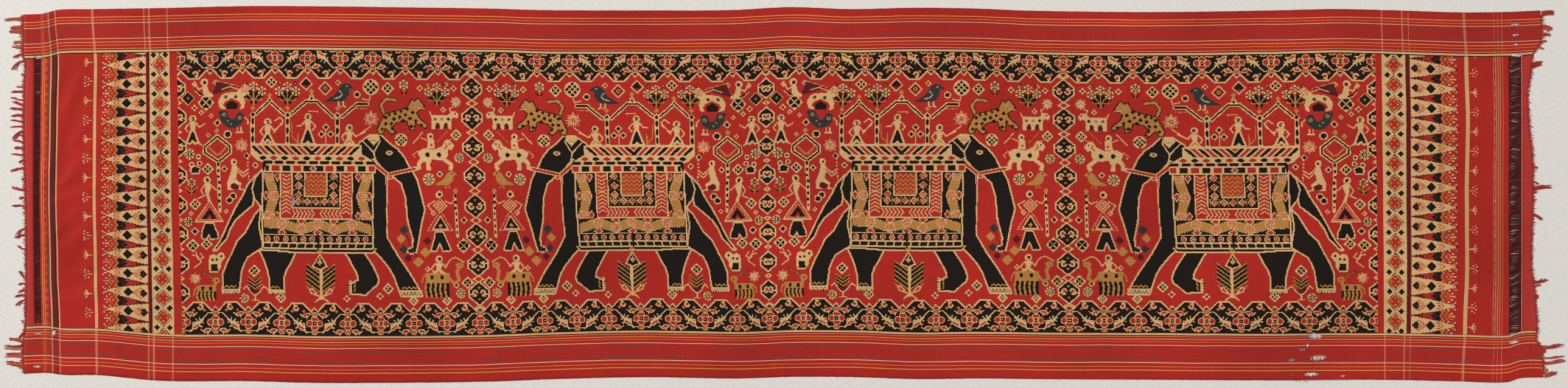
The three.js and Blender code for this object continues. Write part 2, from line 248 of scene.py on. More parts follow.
# Worn holes and slits, open to the floor: middle x and y, length, width, lean
HOLES = [
    (-2265, 419, 24, 8, 0),
    (-2266, -423, 20, 5, 0.5),
    (-2221, -419, 17, 12, -1),
    (-2270, -523, 23, 6, 0),
    (-1492, -21, 9, 35, 1),
    (2226, 423, 33, 8, 0),
    (2223, 409, 26, 4.5, 1),
    (2222, 517, 26, 4.5, 1),
    (2223, 486, 20, 4.5, 2),
    (2222, 456, 18, 4.5, 1),
    (2219, -449, 30, 8, 5),
    (1613, -430, 40, 17, -3),
    (1622, -497, 52, 14, 5),
    (1603, -547, 44, 9, 2),
    (1543, -504, 20, 8, 0),
    (1591, -459, 9, 6, 0),
    (1572, -471, 20, 4, 0),
    (1543, -548, 11, 4, 0),
    (1698, -552, 12, 4, 0),
]

# The bands of bare warp: first and last column of the plan without weft, rows that they cross
OPEN_WARPS = [
    {"first": 3, "last": 5, "top": 15, "bottom": 105, "wave": 1.2, "gap": 0.02},
    {"first": 43 + LEFT_FACES + FIELD_FACES, "last": 47 + LEFT_FACES + FIELD_FACES,
     "top": 15, "bottom": 106, "wave": 3.4, "gap": 0.05},
]

# Loose ends, from the bottom selvedge to the top: root place, how far the tip stands out,
# how far it lies to the side, how far the lock bows, its width and height
LEFT_LOCKS = [
    (-526, 40, 9, 3, 9, 1.6),
    (-515, 52, 4, -2, 12, 1.8),
    (-490, 55, 1, 3, 16, 2.0),
    (-463, 58, 0, -5, 15, 2.2),
    (-448, 44, 8, 4, 10, 1.8),
    (-420, 21, -22, 10, 8, 2.4),
    (-392, 16, 10, -5, 3, 1.4),
    (-372, 6, 2, 0, 8, 1.4),
    (-350, 8, 3, 1, 8, 1.4),
    (-322, 34, -15, 12, 4, 1.8),
    (-310, 38, 0, 8, 7, 2.0),
    (-293, 27, -4, 9, 6, 2.0),
    (-277, 25, 3, 10, 5, 1.8),
    (-257, 24, 24, -8, 4, 1.6),
    (-216, 7, 4, 0, 4, 1.4),
    (-164, 32, 9, -10, 4, 1.6),
    (-124, 37, -8, 8, 6, 1.8),
    (-103, 34, -19, 12, 4, 1.6),
    (-60, 10, 5, 2, 5, 1.4),
    (-38, 44, 2, 7, 6, 1.8),
    (-16, 22, 4, 9, 7, 1.8),
    (14, 43, 8, -4, 8, 1.8),
    (44, 12, 3, 2, 9, 1.4),
    (80, 44, -8, 4, 7, 1.8),
    (104, 20, -7, 6, 5, 1.6),
    (121, 40, 2, -3, 6, 2.0),
    (138, 31, 3, 5, 9, 2.2),
    (156, 34, 8, 4, 6, 2.0),
    (174, 18, 6, 4, 4, 1.6),
    (192, 37, -22, 14, 6, 1.8),
    (206, 44, 0, 3, 5, 1.6),
    (221, 41, 5, -1, 6, 1.6),
    (239, 38, 0, 4, 9, 2.2),
    (257, 44, 4, 3, 8, 2.2),
    (271, 38, 12, -2, 6, 1.8),
    (287, 44, 8, -3, 4, 1.6),
    (311, 41, 0, 4, 7, 2.0),
    (324, 28, 3, 3, 5, 1.8),
    (361, 12, 4, -4, 6, 1.4),
    (404, 44, -24, 20, 4, 1.8),
    (428, 33, -11, 5, 7, 2.8),
    (449, 34, 3, -2, 12, 2.0),
    (463, 30, 0, 2, 10, 2.0),
    (493, 42, 3, 3, 12, 1.8),
    (507, 40, 0, 3, 11, 1.8),
    (532, 56, -1, 4, 10, 1.6),
]
RIGHT_LOCKS = [
    (-551, 40, 8, -2, 14, 1.6),
    (-533, 14, -3, 0, 14, 1.4),
    (-514, 70, 10, -4, 9, 1.8),
    (-497, 68, 4, -5, 6, 1.8),
    (-478, 12, 4, 0, 14, 1.6),
    (-463, 72, 6, -8, 11, 2.2),
    (-408, 6, 2, 0, 9, 1.4),
    (-314, 12, 3, 2, 14, 1.8),
    (-282, 22, 6, 3, 5, 1.6),
    (-264, 46, 5, -9, 9, 2.0),
    (-84, 8, -1, 0, 5, 1.4),
    (-62, 32, -12, 6, 11, 2.0),
    (-22, 13, 6, 4, 5, 1.6),
    (4, 14, 4, 3, 7, 1.8),
    (17, 60, 6, 5, 13, 2.4),
    (40, 20, -8, 3, 4, 1.6),
    (84, 16, -4, 3, 7, 1.8),
    (213, 8, -5, 2, 4, 1.4),
    (262, 7, -3, 2, 4, 1.4),
    (391, 36, 8, 2, 18, 2.0),
    (446, 22, -4, 5, 7, 1.8),
    (461, 20, 6, 3, 9, 2.2),
    (483, 30, 3, 5, 12, 2.2),
    (509, 34, -9, 6, 17, 1.8),
    (549, 40, 3, 4, 18, 1.8),
]


def column_of(rows, number):
    """One column of a table as an array."""
    return np.array([row[number] for row in rows], dtype=float)


def follow(rows, number, at):
    """One column of a table at places between its stations, on a smooth curve."""
    stations = column_of(rows, 0)
    values = column_of(rows, number)
    before = np.maximum(np.arange(len(stations)) - 1, 0)
    after = np.minimum(np.arange(len(stations)) + 1, len(stations) - 1)
    slopes = (values[after] - values[before]) / (stations[after] - stations[before])
    i = np.clip(np.searchsorted(stations, at), 1, len(stations) - 1)
    span = stations[i] - stations[i - 1]
    t = np.clip((at - stations[i - 1]) / span, 0, 1)
    ease = t * t * (3 - 2 * t)
    leave = t * (1 - t) ** 2 * span * slopes[i - 1]
    arrive = t * t * (t - 1) * span * slopes[i]
    return values[i - 1] + (values[i] - values[i - 1]) * ease + leave + arrive


def height_at(x, y):
    """How high the cloth's face stands: its thickness, the low ridges and the creases."""
    height = np.full_like(x, CLOTH_THICK)
    for middle_x, middle_y, turn, long, wide, rise in RIDGES:
        angle = np.radians(turn)
        dx = x - middle_x
        dy = y - middle_y
        along = (dx * np.cos(angle) + dy * np.sin(angle)) / (long / 2)
        across = (dy * np.cos(angle) - dx * np.sin(angle)) / (wide / 2)
        height += rise * np.maximum(0, 1 - along**2 - across**2) ** 2
    for x0, y0, x1, y1, wide, depth in CREASES:
        long = np.hypot(x1 - x0, y1 - y0)
        along = ((x - x0) * (x1 - x0) + (y - y0) * (y1 - y0)) / long
        across = ((y - y0) * (x1 - x0) - (x - x0) * (y1 - y0)) / long
        past = np.maximum(0, np.maximum(-along, along - long))
        near = np.exp(-((across / (wide / 2)) ** 2) - (past / wide) ** 2)
        side = np.exp(-(((np.abs(across) - wide) / (wide / 2)) ** 2) - (past / wide) ** 2)
        height += CREASE_DEPTH * depth * (0.7 * side - near)
    return np.maximum(height, 0.5)


def place(u, v):
    """Where a point of the plan lies: u in columns from the left, v in rows from the top."""
    x = np.interp(u, column_of(PICK_PLACES, 0), column_of(PICK_PLACES, 1))
    top = follow(SELVEDGES, 1, x)
    bottom = follow(SELVEDGES, 2, x)
    from_top = np.interp(v, [0, TOP_ROWS], [0, TOP_BORDER])
    from_bottom = np.interp(ROWS - v, [0, BOTTOM_ROWS], [0, BOTTOM_BORDER])
    share = np.clip((v - TOP_ROWS) / FIELD_ROWS, 0, 1)
    field_top = top - TOP_BORDER
    field_bottom = bottom + BOTTOM_BORDER
    y = field_top + (field_bottom - field_top) * share
    y = np.where(v < TOP_ROWS, top - from_top, y)
    y = np.where(v > ROWS - BOTTOM_ROWS, bottom + from_bottom, y)
    heights = np.array(SWAY_AT[::-1], dtype=float)
    at_height = [np.interp(x, column_of(SWAY, 0), column_of(SWAY, 1 + k)) for k in range(len(SWAY_AT))]
    at_height = np.array(at_height[::-1])
    knot = np.clip(np.searchsorted(heights, y), 1, len(heights) - 1)
    t = np.clip((y - heights[knot - 1]) / (heights[knot] - heights[knot - 1]), 0, 1)
    t = t * t * (3 - 2 * t)
    picks = np.arange(x.size).reshape(x.shape)
    flat = at_height.reshape(len(heights), -1)
    low = flat[(knot - 1).ravel(), picks.ravel()].reshape(x.shape)
    high = flat[knot.ravel(), picks.ravel()].reshape(x.shape)
    shift = low + (high - low) * t
    left_fade = np.clip(1 - u / 3, 0, 1)
    right_fade = np.clip((u - (COLUMNS - 6)) / 6, 0, 1)
    left_gap = -follow(LEFT_END, 1, y) - PICK_PLACES[0][1]
    right_gap = follow(RIGHT_END, 1, y) - PICK_PLACES[-1][1]
    x = x + shift + left_gap * left_fade + right_gap * right_fade
    return np.stack([x, y, height_at(x, y)], axis=-1)


# The dyer's plan: every chart is drawn in tied units, x to the right and y down
class Plan:
    """A patch of tied cells. Shapes are laid on it in tied units, in order.

    A shape is cream if no dye is named.
    """

    def __init__(self, columns, rows, ground):
        self.cells = np.full((rows, columns), DYE_NUMBER[ground], dtype=np.int32)
        across, down = np.meshgrid(np.arange(columns), np.arange(rows))
        self.x = (across + 0.5) / UNIT
        self.y = (down + 0.5) / UNIT

    def dye(self, where, name):
        """Dyes the cells that a mask picks out."""
        self.cells[where] = DYE_NUMBER[name]

    def block(self, x0, y0, x1, y1, name="cream"):
        """A rectangle, from its upper left corner to its lower right."""
        self.dye((self.x >= x0) & (self.x < x1) & (self.y >= y0) & (self.y < y1), name)

    def disc(self, x, y, r, name="cream", stretch=1):
        """A disc, or an oval when it is stretched along x."""
        self.dye(((self.x - x) / stretch) ** 2 + (self.y - y) ** 2 <= r * r, name)

    def diamond(self, x, y, r, name="cream", stretch=1):
        """A square on its corner, stretched along x at will."""
        self.dye(np.abs(self.x - x) / stretch + np.abs(self.y - y) <= r, name)

    def shape(self, corners, name="cream"):
        """The inside of a closed outline."""
        inside = np.zeros(self.cells.shape, dtype=bool)
        for (x0, y0), (x1, y1) in zip(corners, corners[1:] + corners[:1]):
            if y0 == y1:
                continue
            crosses = (self.y >= min(y0, y1)) & (self.y < max(y0, y1))
            edge = x0 + (self.y - y0) * (x1 - x0) / (y1 - y0)
            inside ^= crosses & (self.x < edge)
        self.dye(inside, name)

    def thread(self, corners, wide, name="cream", dash=None):
        """A line through corners, dashed where a dash length is given."""
        run = 0
        for (x0, y0), (x1, y1) in zip(corners, corners[1:]):
            long = max(np.hypot(x1 - x0, y1 - y0), 0.01)
            share = ((self.x - x0) * (x1 - x0) + (self.y - y0) * (y1 - y0)) / long**2
            share = np.clip(share, 0, 1)
            off = np.hypot(self.x - x0 - share * (x1 - x0), self.y - y0 - share * (y1 - y0))
            drawn = off <= wide / 2
            if dash:
                drawn &= (run + share * long) % dash < dash / 2
            self.dye(drawn, name)
            run += long

    def threads(self, lines, wide, name="cream", dash=None):
        """Several lines of one width and one dye."""
        for corners in lines:
            self.thread(corners, wide, name, dash)

    def discs(self, x, y, *nested, stretch=1):
        """Discs inside each other, the outermost first, each a radius and a dye."""
        for r, name in nested:
            self.disc(x, y, r, name, stretch)

    def diamonds(self, x, y, *nested, stretch=1):
        """Diamonds inside each other, the outermost first, each a radius and a dye."""
        for r, name in nested:
            self.diamond(x, y, r, name, stretch)

    def edged(self, corners, wide, body="black", edge="cream"):
        """A filled outline with a line along its edge."""
        self.shape(corners, body)
        self.thread(corners + corners[:1], wide, edge)

    def placed(self, x, y, turn_x=1, turn_y=1, reach=45):
        """The cells within reach of a spot, with that spot as origin and the axes turned at will."""
        near = (np.abs(self.y - y) <= reach) & (np.abs(self.x - x) <= reach)
        rows = np.append(np.flatnonzero(near.any(axis=1)), 0)
        columns = np.append(np.flatnonzero(near.any(axis=0)), 0)
        patch = np.s_[rows[0]:rows[:-1].max(initial=0) + 1, columns[0]:columns[:-1].max(initial=0) + 1]
        view = Plan.__new__(Plan)
        view.cells = self.cells[patch]
        view.x = (self.x[patch] - x) * turn_x
        view.y = (self.y[patch] - y) * turn_y
        return view

    def on_end(self):
        """The same cells with x running down and y running across."""
        view = Plan.__new__(Plan)
        view.cells = self.cells.T
        view.x = self.y.T
        view.y = self.x.T
        return view


# Small fillers between the figures, in units of one panel: x, y and size for each kind
FILLERS = {
    "wheel": [(8.5, 40, 4.2)],
    "cross": [(24, 44, 5.5), (25.5, 101, 3.6), (15, 131, 3.6), (12.5, 166.5, 4.2), (24.5, 165.5, 3.6),
              (66, 188.5, 3.8), (89, 211, 3.2), (81, 27, 3.8), (181.5, 31.5, 4.0), (241, 71, 3.4),
              (247, 166, 4.8), (251, 198, 3.8), (204, 213, 2.8), (233, 213, 2.8), (182, 202.5, 3.4)],
    "petals": [(14.5, 28, 2.6), (32, 27, 2.2), (14, 48.5, 2.8), (20, 52.5, 2.2), (28.5, 55.5, 2.2),
               (26, 72, 2.4), (11.5, 139, 2.0), (42, 137.5, 1.9), (138.5, 27, 2.5), (209.5, 31, 2.8),
               (217, 27.5, 1.8), (232, 27.5, 1.8), (238.5, 31, 2.8), (229.5, 49.5, 2.4), (221.5, 138, 2.4),
               (216, 186, 2.4), (146, 211, 3.0), (175, 209, 3.0)],
    "ring": [(34, 61.5, 2.6), (40, 101, 2.2), (12.5, 102, 2.4), (14.5, 154.5, 2.8), (67, 98, 2.2),
             (226.5, 104.5, 2.0), (248, 144, 2.4), (241, 200, 2.2)],
    "gear": [(10, 88, 3.8), (9, 146, 3.2), (57.5, 212, 3.2), (243.5, 90.5, 3.4), (217, 109, 4.4),
             (245, 207, 3.4)],
    "bead": [(43, 71.5, 2.7), (47.5, 124.5, 2.4), (44.5, 128.0, 2.4), (155, 37, 2.2)],
    "star": [(55, 81, 5.6), (15, 195, 4.6), (240.5, 42.5, 4.4), (167, 57.5, 6.4)],
    "heart": [(111, 28, 4.4)],
    "nested": [(127.5, 32, 4.6)],
    "lattice": [(167, 30.5, 7.0), (193.5, 75.5, 5.6)],
}


def gear(chart, x, y, r):
    """A round flower of black and cream petals with a gold eye."""
    here = chart.placed(x, y, reach=12)
    here.disc(0, 0, r + 0.7)
    for turn in range(4):
        angle = np.pi / 4 * turn + 0.39
        dx, dy = (r + 0.2) * np.cos(angle), (r + 0.2) * np.sin(angle)
        here.thread([(-dx, -dy), (dx, dy)], 0.9, "black")
    here.diamonds(0, 0, (1.5, "cream"), (0.9, "gold"))


def nested(chart, x, y, r):
    """Diamonds of cream, red, black and gold inside each other."""
    here = chart.placed(x, y, reach=12)
    for smaller, name in enumerate(("cream", "red", "black", "gold", "black")):
        here.diamond(0, 0, r + 1.6 - 1.25 * smaller, name)


def wheel(chart, x, y, r):
    """A black diamond with stepped edges, a cream outline and a gold eye."""
    here = chart.placed(x, y, reach=12)
    here.diamonds(0, 0, (r + 2.0, "cream"), (r + 1.1, "black"))
    here.disc(0, 0, r * 0.8, "black")
    here.diamonds(0, 0, (1.4, "gold"), (0.6, "black"))


def cross(chart, x, y, r):
    """A pointed cream ring round a black flower with a gold eye."""
    here = chart.placed(x, y, reach=12)
    here.diamond(0, 0, r + 1.7)
    here.discs(0, 0, (r + 0.1, "cream"), (r - 0.7, "black"))
    reach = (r - 0.4) * 0.7
    here.threads([[(-reach, -reach), (reach, reach)], [(-reach, reach), (reach, -reach)]], 0.8)
    here.diamond(0, 0, 1.1, "gold")


def lattice(chart, x, y, r):
    """A round cream rosette set with nine black diamonds."""
    here = chart.placed(x, y, reach=14)
    here.disc(0, 0, r * 0.98)
    for a in (-1, 0, 1):
        for b in (-1, 0, 1):
            here.diamond((a - b) * r * 0.34, (a + b) * r * 0.34, r * 0.25, "black")


def star(chart, x, y, r):
    """Sixteen short cream rays round a small cream eye."""
    here = chart.placed(x, y, reach=14)
    for turn in range(16):
        angle = np.pi / 8 * turn
        reach = r if turn % 2 == 0 else r * 0.82
        start = r * 0.34
        ray = np.array([np.cos(angle), np.sin(angle)])
        here.thread([start * ray, reach * ray], 0.85)
    here.diamond(0, 0, 1.0)


def petals(chart, x, y, r):
    """A tiny four-petalled flower."""
    here = chart.placed(x, y, reach=8)
    for dx, dy in ((-1, 0), (1, 0), (0, 1), (0, -1)):
        here.diamond(dx * r * 0.62, dy * r * 0.62, max(0.95, r * 0.46))
    here.diamond(0, 0, max(0.7, r * 0.34), "black")


def ring(chart, x, y, r):
    """A small cream ring with a black eye."""
    here = chart.placed(x, y, reach=8)
    here.diamonds(0, 0, (r + 0.9, "cream"), (r - 0.4, "black"))


def bead(chart, x, y, r):
    """A black bead edged with cream."""
    here = chart.placed(x, y, reach=8)
    here.discs(0, 0, (r + 0.8, "cream"), (r - 0.2, "black"))


def heart(chart, x, y, r):
    """A bud seen from the side: a black heart edged with cream on a short stalk."""
    here = chart.placed(x, y, reach=12)
    heart_shape = [(0, -r), (r * 0.9, 0), (r * 0.5, r * 0.6), (0.6, r * 0.2), (0, r), (-0.6, r * 0.2),
                   (-r * 0.5, r * 0.6), (-r * 0.9, 0)]
    here.edged([(0, -r - 1), (r + 1, 0.3), (0, r + 1.2), (-r - 1, 0.3)], 0.9, "red")
    here.shape(heart_shape, "black")


MOTIFS = {
    "gear": gear, "nested": nested, "wheel": wheel, "cross": cross, "lattice": lattice, "star": star,
    "petals": petals, "ring": ring, "bead": bead, "heart": heart,
}


def curl(chart, x, y, side, tail):
    """A cream scroll round a red eye, with its tail run out to the edge."""
    here = chart.placed(x, y, side, reach=12)
    here.disc(0, 0, 2.6)
    here.shape([(0.4, 0.6), (3.4, 0.2), (3.4, 2.2), (1.2, 2.4)], "black")
    here.disc(0, 0, 1.3, "red")
    here.thread([(-1.8, 1.2), tail], 1.2)


def leaf(chart, x, y, dx, dy):
    """A red leaf edged with cream, from its stalk to its tip."""
    here = chart.placed(x, y, reach=14)
    side_x, side_y = -dy * 0.34, dx * 0.34
    corners = [(0, 0), (dx * 0.4 + side_x, dy * 0.4 + side_y), (dx, dy),
               (dx * 0.4 - side_x, dy * 0.4 - side_y)]
    here.edged(corners, 0.8, "red")


def band_flower(chart, x, high_leaves):
    """A four-lobed flower of the long border, with a bud above and below and two leaves."""
    here = chart.placed(x, 6.2, reach=22)
    for dy in (-7.7, 7.7):
        here.disc(0, dy, 2.0, "cream", 1.3)
        here.disc(0, dy, 1.5, "red", 1.4)
        here.diamond(0, dy, 1.2, "gold")
    for dx, dy, wide, high in ((-4.5, 0, 2.1, 2.4), (4.5, 0, 2.1, 2.4), (0, -3.7, 2.8, 1.6),
                               (0, 3.7, 2.8, 1.6)):
        here.disc(dx, dy, high + 0.6, "cream", (wide + 0.6) / (high + 0.6))
        here.disc(dx, dy, high, "red", wide / high)
    here.block(-2.1, -1.9, 2.1, 1.9)
    here.block(-1.5, -1.5, 1.5, 1.5, "black")
    here.diamond(0, 0, 0.7)
    for side in (-1, 1):
        half = here.placed(0, 0, side, reach=22)
        down = -7.0 if high_leaves else 7.2
        half.edged([(3.4, down + 1), (5.8, down - 1.5), (9.6, down - 1.9), (10.6, down - 0.8),
                    (8.2, down + 1.5), (5.8, down + 1.7)], 0.8, "red")
        half.thread([(10.4, down - 1), (12.4, down + 0.8)], 0.8)
        half.thread([(6.6, down - 3.2), (7.2, down - 0.8)], 0.9)
        if high_leaves:
            half.thread([(3.2, 7.8), (5.8, 8.2), (13, 1.2)], 0.9)
        else:
            half.thread([(2.4, -7), (6.4, -7.6), (9.4, -5)], 0.8)


def sprig(chart, x, y, side):
    """A leaning cream sprig with barbs and a red core, between two flowers of the border."""
    here = chart.placed(x, y, side, reach=12)
    here.shape([(-1.8, 1.4), (-0.8, -2.6), (3, -5.8), (6.2, -5.4), (5.6, -1.6), (1.4, 1.8)])
    here.thread([(0.4, -1.8), (4.6, -4.4)], 1.5, "red")
    here.thread([(-1.6, 1.6), (-3.4, 3)], 1.9)
    here.threads([[(-3.6, -0.2), (-1.2, 1.2), (-0.4, 4.4)], [(-2.2, -3.2), (0.2, -3)], [(1, 1), (2.6, 3)],
                  [(5.8, -2.6), (5.2, 0.2), (3.4, 0.6)]], 0.9)
    here.thread([(5, -5.6), (7.4, -7.6)], 0.8)


def long_border(chart, first, pitch, turn, edge_at):
    """The scalloped black border of one long side: flowers, sprigs, scrolls and gold dots."""
    here = chart.placed(first, edge_at, 1, turn, reach=400)
    edge = [(-pitch * 2, -9)]
    for number in range(-1, 11):
        at = number * pitch
        edge += [(at - 2.6, 16), (at, 19.6), (at + 2.6, 16), (at + 9.2, 23.1), (at + pitch - 10, 23.4)]
    edge += [(pitch * 12, -9)]
    here.shape(edge, "black")
    here.thread(edge[1:-1], 1.25)
    for number in range(-1, 11):
        at = number * pitch
        turned = 1 if number % 2 else -1
        here.shape([(at - 2.1, 15.4), (at + 2.1, 15.4), (at + 1.7, 17), (at, 18.7), (at - 1.7, 17)],
                   "maroon")
        sprig(here, at + pitch / 2, 5.8, turned)
        band_flower(here, at, number % 2 == 1)
        curl(here, at + pitch / 2 - turned * 1.4, 19.2, turned, (-1.2, 3.6))
        for side in (-1, 1):
            here.diamonds(at + pitch / 2 + side * 4.8, 16.6, (1.6, "rust"), (1.0, "gold"))


# Middles of the lobes of the short borders, down one panel
LOBES = (31, 56.4, 81.5, 106.6, 131.8, 157, 182.2, 207.4)


def short_border(chart, axis):
    """The column of black lobes where two panels meet, mirrored about its axis."""
    for number, y in enumerate(LOBES):
        here = chart.placed(axis, y, 1, -1 if number % 2 == 0 else 1, reach=18)
        here.edged([(0, -10.4), (8.6, -3.2), (8.6, 2.8), (0, 10.4), (-8.6, 2.8), (-8.6, -3.2)], 1.25)
        for side in (-1, 1):
            curl(here, side * 3.5, -0.8, -side, (-4.6, 1.8))
            here.thread([(side * 5.2, 2.4), (side * 2.4, 1.6)], 1.0)
        here.diamond(0, -5, 1.3, "gold")
        here.diamond(0, 4.8, 1.3, "rust")
    for y in (18.4, *[(y0 + y1) / 2 for y0, y1 in zip(LOBES, LOBES[1:])], 220):
        here = chart.placed(axis, y, reach=16)
        here.diamond(0, 0, 3.2, "cream", 1.7)
        here.disc(0, 0, 1.75, "red", 1.4)


def blossom(chart, x, y, r):
    """A black flower tipped with six cream petals, with a cream eye."""
    here = chart.placed(x, y, reach=10)
    here.disc(0, 0, r * 0.8, "black")
    for turn in range(6):
        angle = np.pi / 3 * turn + np.pi / 6
        here.disc(r * 0.86 * np.cos(angle), r * 0.86 * np.sin(angle), r * 0.3)
    here.disc(0, 0, r * 0.4)
    here.diamond(0, 0, r * 0.26, "black")


def bush(chart, x, y):
    """Three flowers on gold stems over black leaves."""
    here = chart.placed(x, y, reach=20)
    here.shape([(-9.5, 2.5), (-6, 0), (-3, -3), (0, -1), (3, -3), (6, 0), (9.5, 2.5), (5.5, 3.5), (7, 6),
                (3.4, 5.4), (2.6, 9), (0, 7.4), (-2.6, 9), (-3.4, 5.4), (-7, 6), (-5.5, 3.5)], "black")
    here.thread([(0, -4), (0, 9)], 1.0, "gold")
    here.threads([[(-6.6, -1), (-3, 2), (0, 7)], [(6.6, -1), (3, 2), (0, 7)]], 0.9, "gold")
    here.threads([[(-7, 5), (-2.4, 5.2)], [(7, 5), (2.4, 5.2)]], 0.8, "gold")
    for dx, dy in ((-7.2, -2.4), (0, -6.4), (7.2, -2.4)):
        blossom(here, dx, dy, 3.4)
    for side in (-1, 1):
        here.diamonds(side * 6.8, -9.4, (1.7, "black"), (0.7, "cream"))


def elephant(chart):
    """The black elephant that fills a panel, edged with cream, facing right."""
    legs = [
        [(78, 128), (72, 134), (66, 141), (58, 156), (51, 163), (46, 174), (42, 182), (39, 190),
         (38.5, 207), (53, 207), (55, 189), (57, 183), (60, 177), (66, 173), (74, 168), (84, 168)],
        [(70, 171), (74, 179), (77, 187), (79, 195), (79, 207), (92, 207), (92, 193), (94, 187),
         (97, 182), (103, 169)],
        [(142, 169), (147, 176), (151, 183), (155, 190), (156, 195), (150, 198), (150, 207),
         (163, 208), (168, 203), (173, 199), (174, 195), (172, 189), (168, 182), (159, 169)],
        [(167, 160), (167, 168), (175, 176), (182, 184), (187, 192), (193, 209), (212, 209),
         (208, 201), (200, 188), (190, 174), (184, 164), (179, 155)],
    ]
    tail = [(80, 95), (66, 108), (60, 115), (56, 124), (50, 134), (44, 146), (40, 155), (36, 163),
            (30, 171), (33, 171), (42, 161), (45, 153), (50, 145), (65, 132), (66, 124), (72, 120)]
    body = [(78, 96), (67, 108), (64, 118), (66, 126), (72, 134), (70, 150), (74, 170), (100, 172),
            (168, 172), (179, 160), (179, 104), (170, 92), (150, 84), (90, 84)]
    face = [(157, 78), (166, 71.5), (176, 71.5), (183, 78), (190, 83), (196, 90), (200, 98), (204, 104),
            (207, 110), (211, 124), (214, 135), (211, 147), (208, 163), (206, 172), (199, 173), (198, 169),
            (203, 167), (203, 160), (199, 145), (197, 125), (193, 113), (186, 107), (180, 104), (176, 99),
            (170, 92), (156, 95), (154, 86)]
    for part in [tail, *legs, body, face]:
        chart.edged(part, 1.4)
    chart.shape([(x + 0.8 * np.sign(123 - x), y + 0.8 * np.sign(130 - y)) for x, y in body], "black")
    chart.shape([(170, 100), (179, 106), (181, 130), (180, 168), (171, 168)], "black")
    chart.thread([(181, 106), (181, 159)], 1.2)
    # Cap, brow and ear lines, eye, tusk and neck strap
    chart.shape([(164, 74.4), (165.9, 71.4), (173.8, 71.4), (175.2, 74.9), (169.6, 80.6)])
    chart.threads([[(165.4, 73.6), (174.4, 73.6)], [(167, 76), (172.6, 76)]], 0.8, "gold", 2.0)
    chart.threads([[(160, 76.6), (169.6, 86.4), (175.4, 76)], [(155.8, 81.9), (169, 96)]], 1.1)
    chart.thread([(169.6, 86.4), (171.3, 94.6), (181, 104)], 1.2)
    chart.discs(183, 86.4, (2.0, "cream"), (1.3, "gold"), stretch=1.5)
    chart.disc(183, 86.4, 0.7, "black")
    chart.thread([(169, 95.5), (184, 107.5)], 4.0)
    chart.thread([(169, 95.5), (184, 107.5)], 2.2, "red")
    chart.thread([(183, 105), (207, 99.6)], 3.6)
    chart.thread([(183, 105), (205, 100)], 2.0, "red")
    # Toes and anklets
    for x0, x1 in ((39, 53), (79, 92), (193, 211)):
        squiggle = [(x0 + 1.5 + 1.9 * k,
                     201.2 if k % 2 else 202.8) for k in range(int((x1 - x0 - 2) / 1.9))]
        chart.thread(squiggle, 0.95, "gold")
        chart.thread([(x0 - 0.4, 204.6), (x1 + 0.4, 204.6)], 1.1)
        for k in range(6):
            middle = x0 - 0.4 + (x1 - x0 + 1) * (k + 0.5) / 6
            chart.disc(middle, 206.8, 1.35)
            chart.block(middle - 0.4, 206.4, middle + 0.4, 208.4, "black")
    for k in range(5):
        chart.disc(149, 197 + 2.3 * k, 1.5)
        chart.block(147.2, 196.7 + 2.3 * k, 149.2, 197.4 + 2.3 * k, "black")
    chart.thread([(152.6, 197), (153.6, 199), (152.6, 201), (153.6, 203), (152.6, 205)], 0.95, "gold")
    # Leaves at the tip of the trunk, blurred and without a cream edge
    for x, y, r, name in ((195.8, 152.5, 4.2, "teal"), (193, 159.8, 4.0, "gold"), (195, 169, 3.8, "teal"),
                          (199, 176.5, 3.4, "maroon"), (213.8, 171.6, 4.6, "gold"), (208, 180, 4.8, "gold"),
                          (215.6, 162, 3.8, "maroon")):
        chart.diamond(x, y, r, name)
    chart.threads([[(198, 156), (200, 163), (204, 172), (208, 176)], [(201, 171), (198, 174)]], 0.8,
                  "maroon")


def vine_strip(chart, length, medallions):
    """A strip of the saddle's vine border, 13 units deep: a gold zigzag with medallions in its bends."""
    chart.block(0, 0, length, 13, "black")
    zigzag = [(medallions[0] - 16, 3.4)]
    for number, x in enumerate(medallions):
        zigzag.append((x, 8.6 if number % 2 else 3.8))
    zigzag.append((medallions[-1] + 16, 8.6))
    inner = chart.placed(length / 2, 6.5, reach=max(length / 2, 6.5))
    inner = inner.placed(-length / 2, -6.5, reach=200)
    inner.thread(zigzag, 7.2, "gold")
    inner.threads([[(x, y - 3.9) for x, y in zigzag], [(x, y + 3.9) for x, y in zigzag]], 0.9, "cream", 2.2)
    for number, x in enumerate(medallions):
        y = 8.6 if number % 2 else 3.8
        inner.disc(x, y, 4.2)
        spot = inner.placed(x, y, reach=4)
        checks = (np.floor(spot.x / 0.95) + np.floor(spot.y / 0.95)) % 2 == 0
        spot.dye((spot.x**2 + spot.y**2 < 13) & checks, "red")
        leaf(inner, x - 3.8, 11.2 if number % 2 == 0 else 1.6, 7.6, 0)


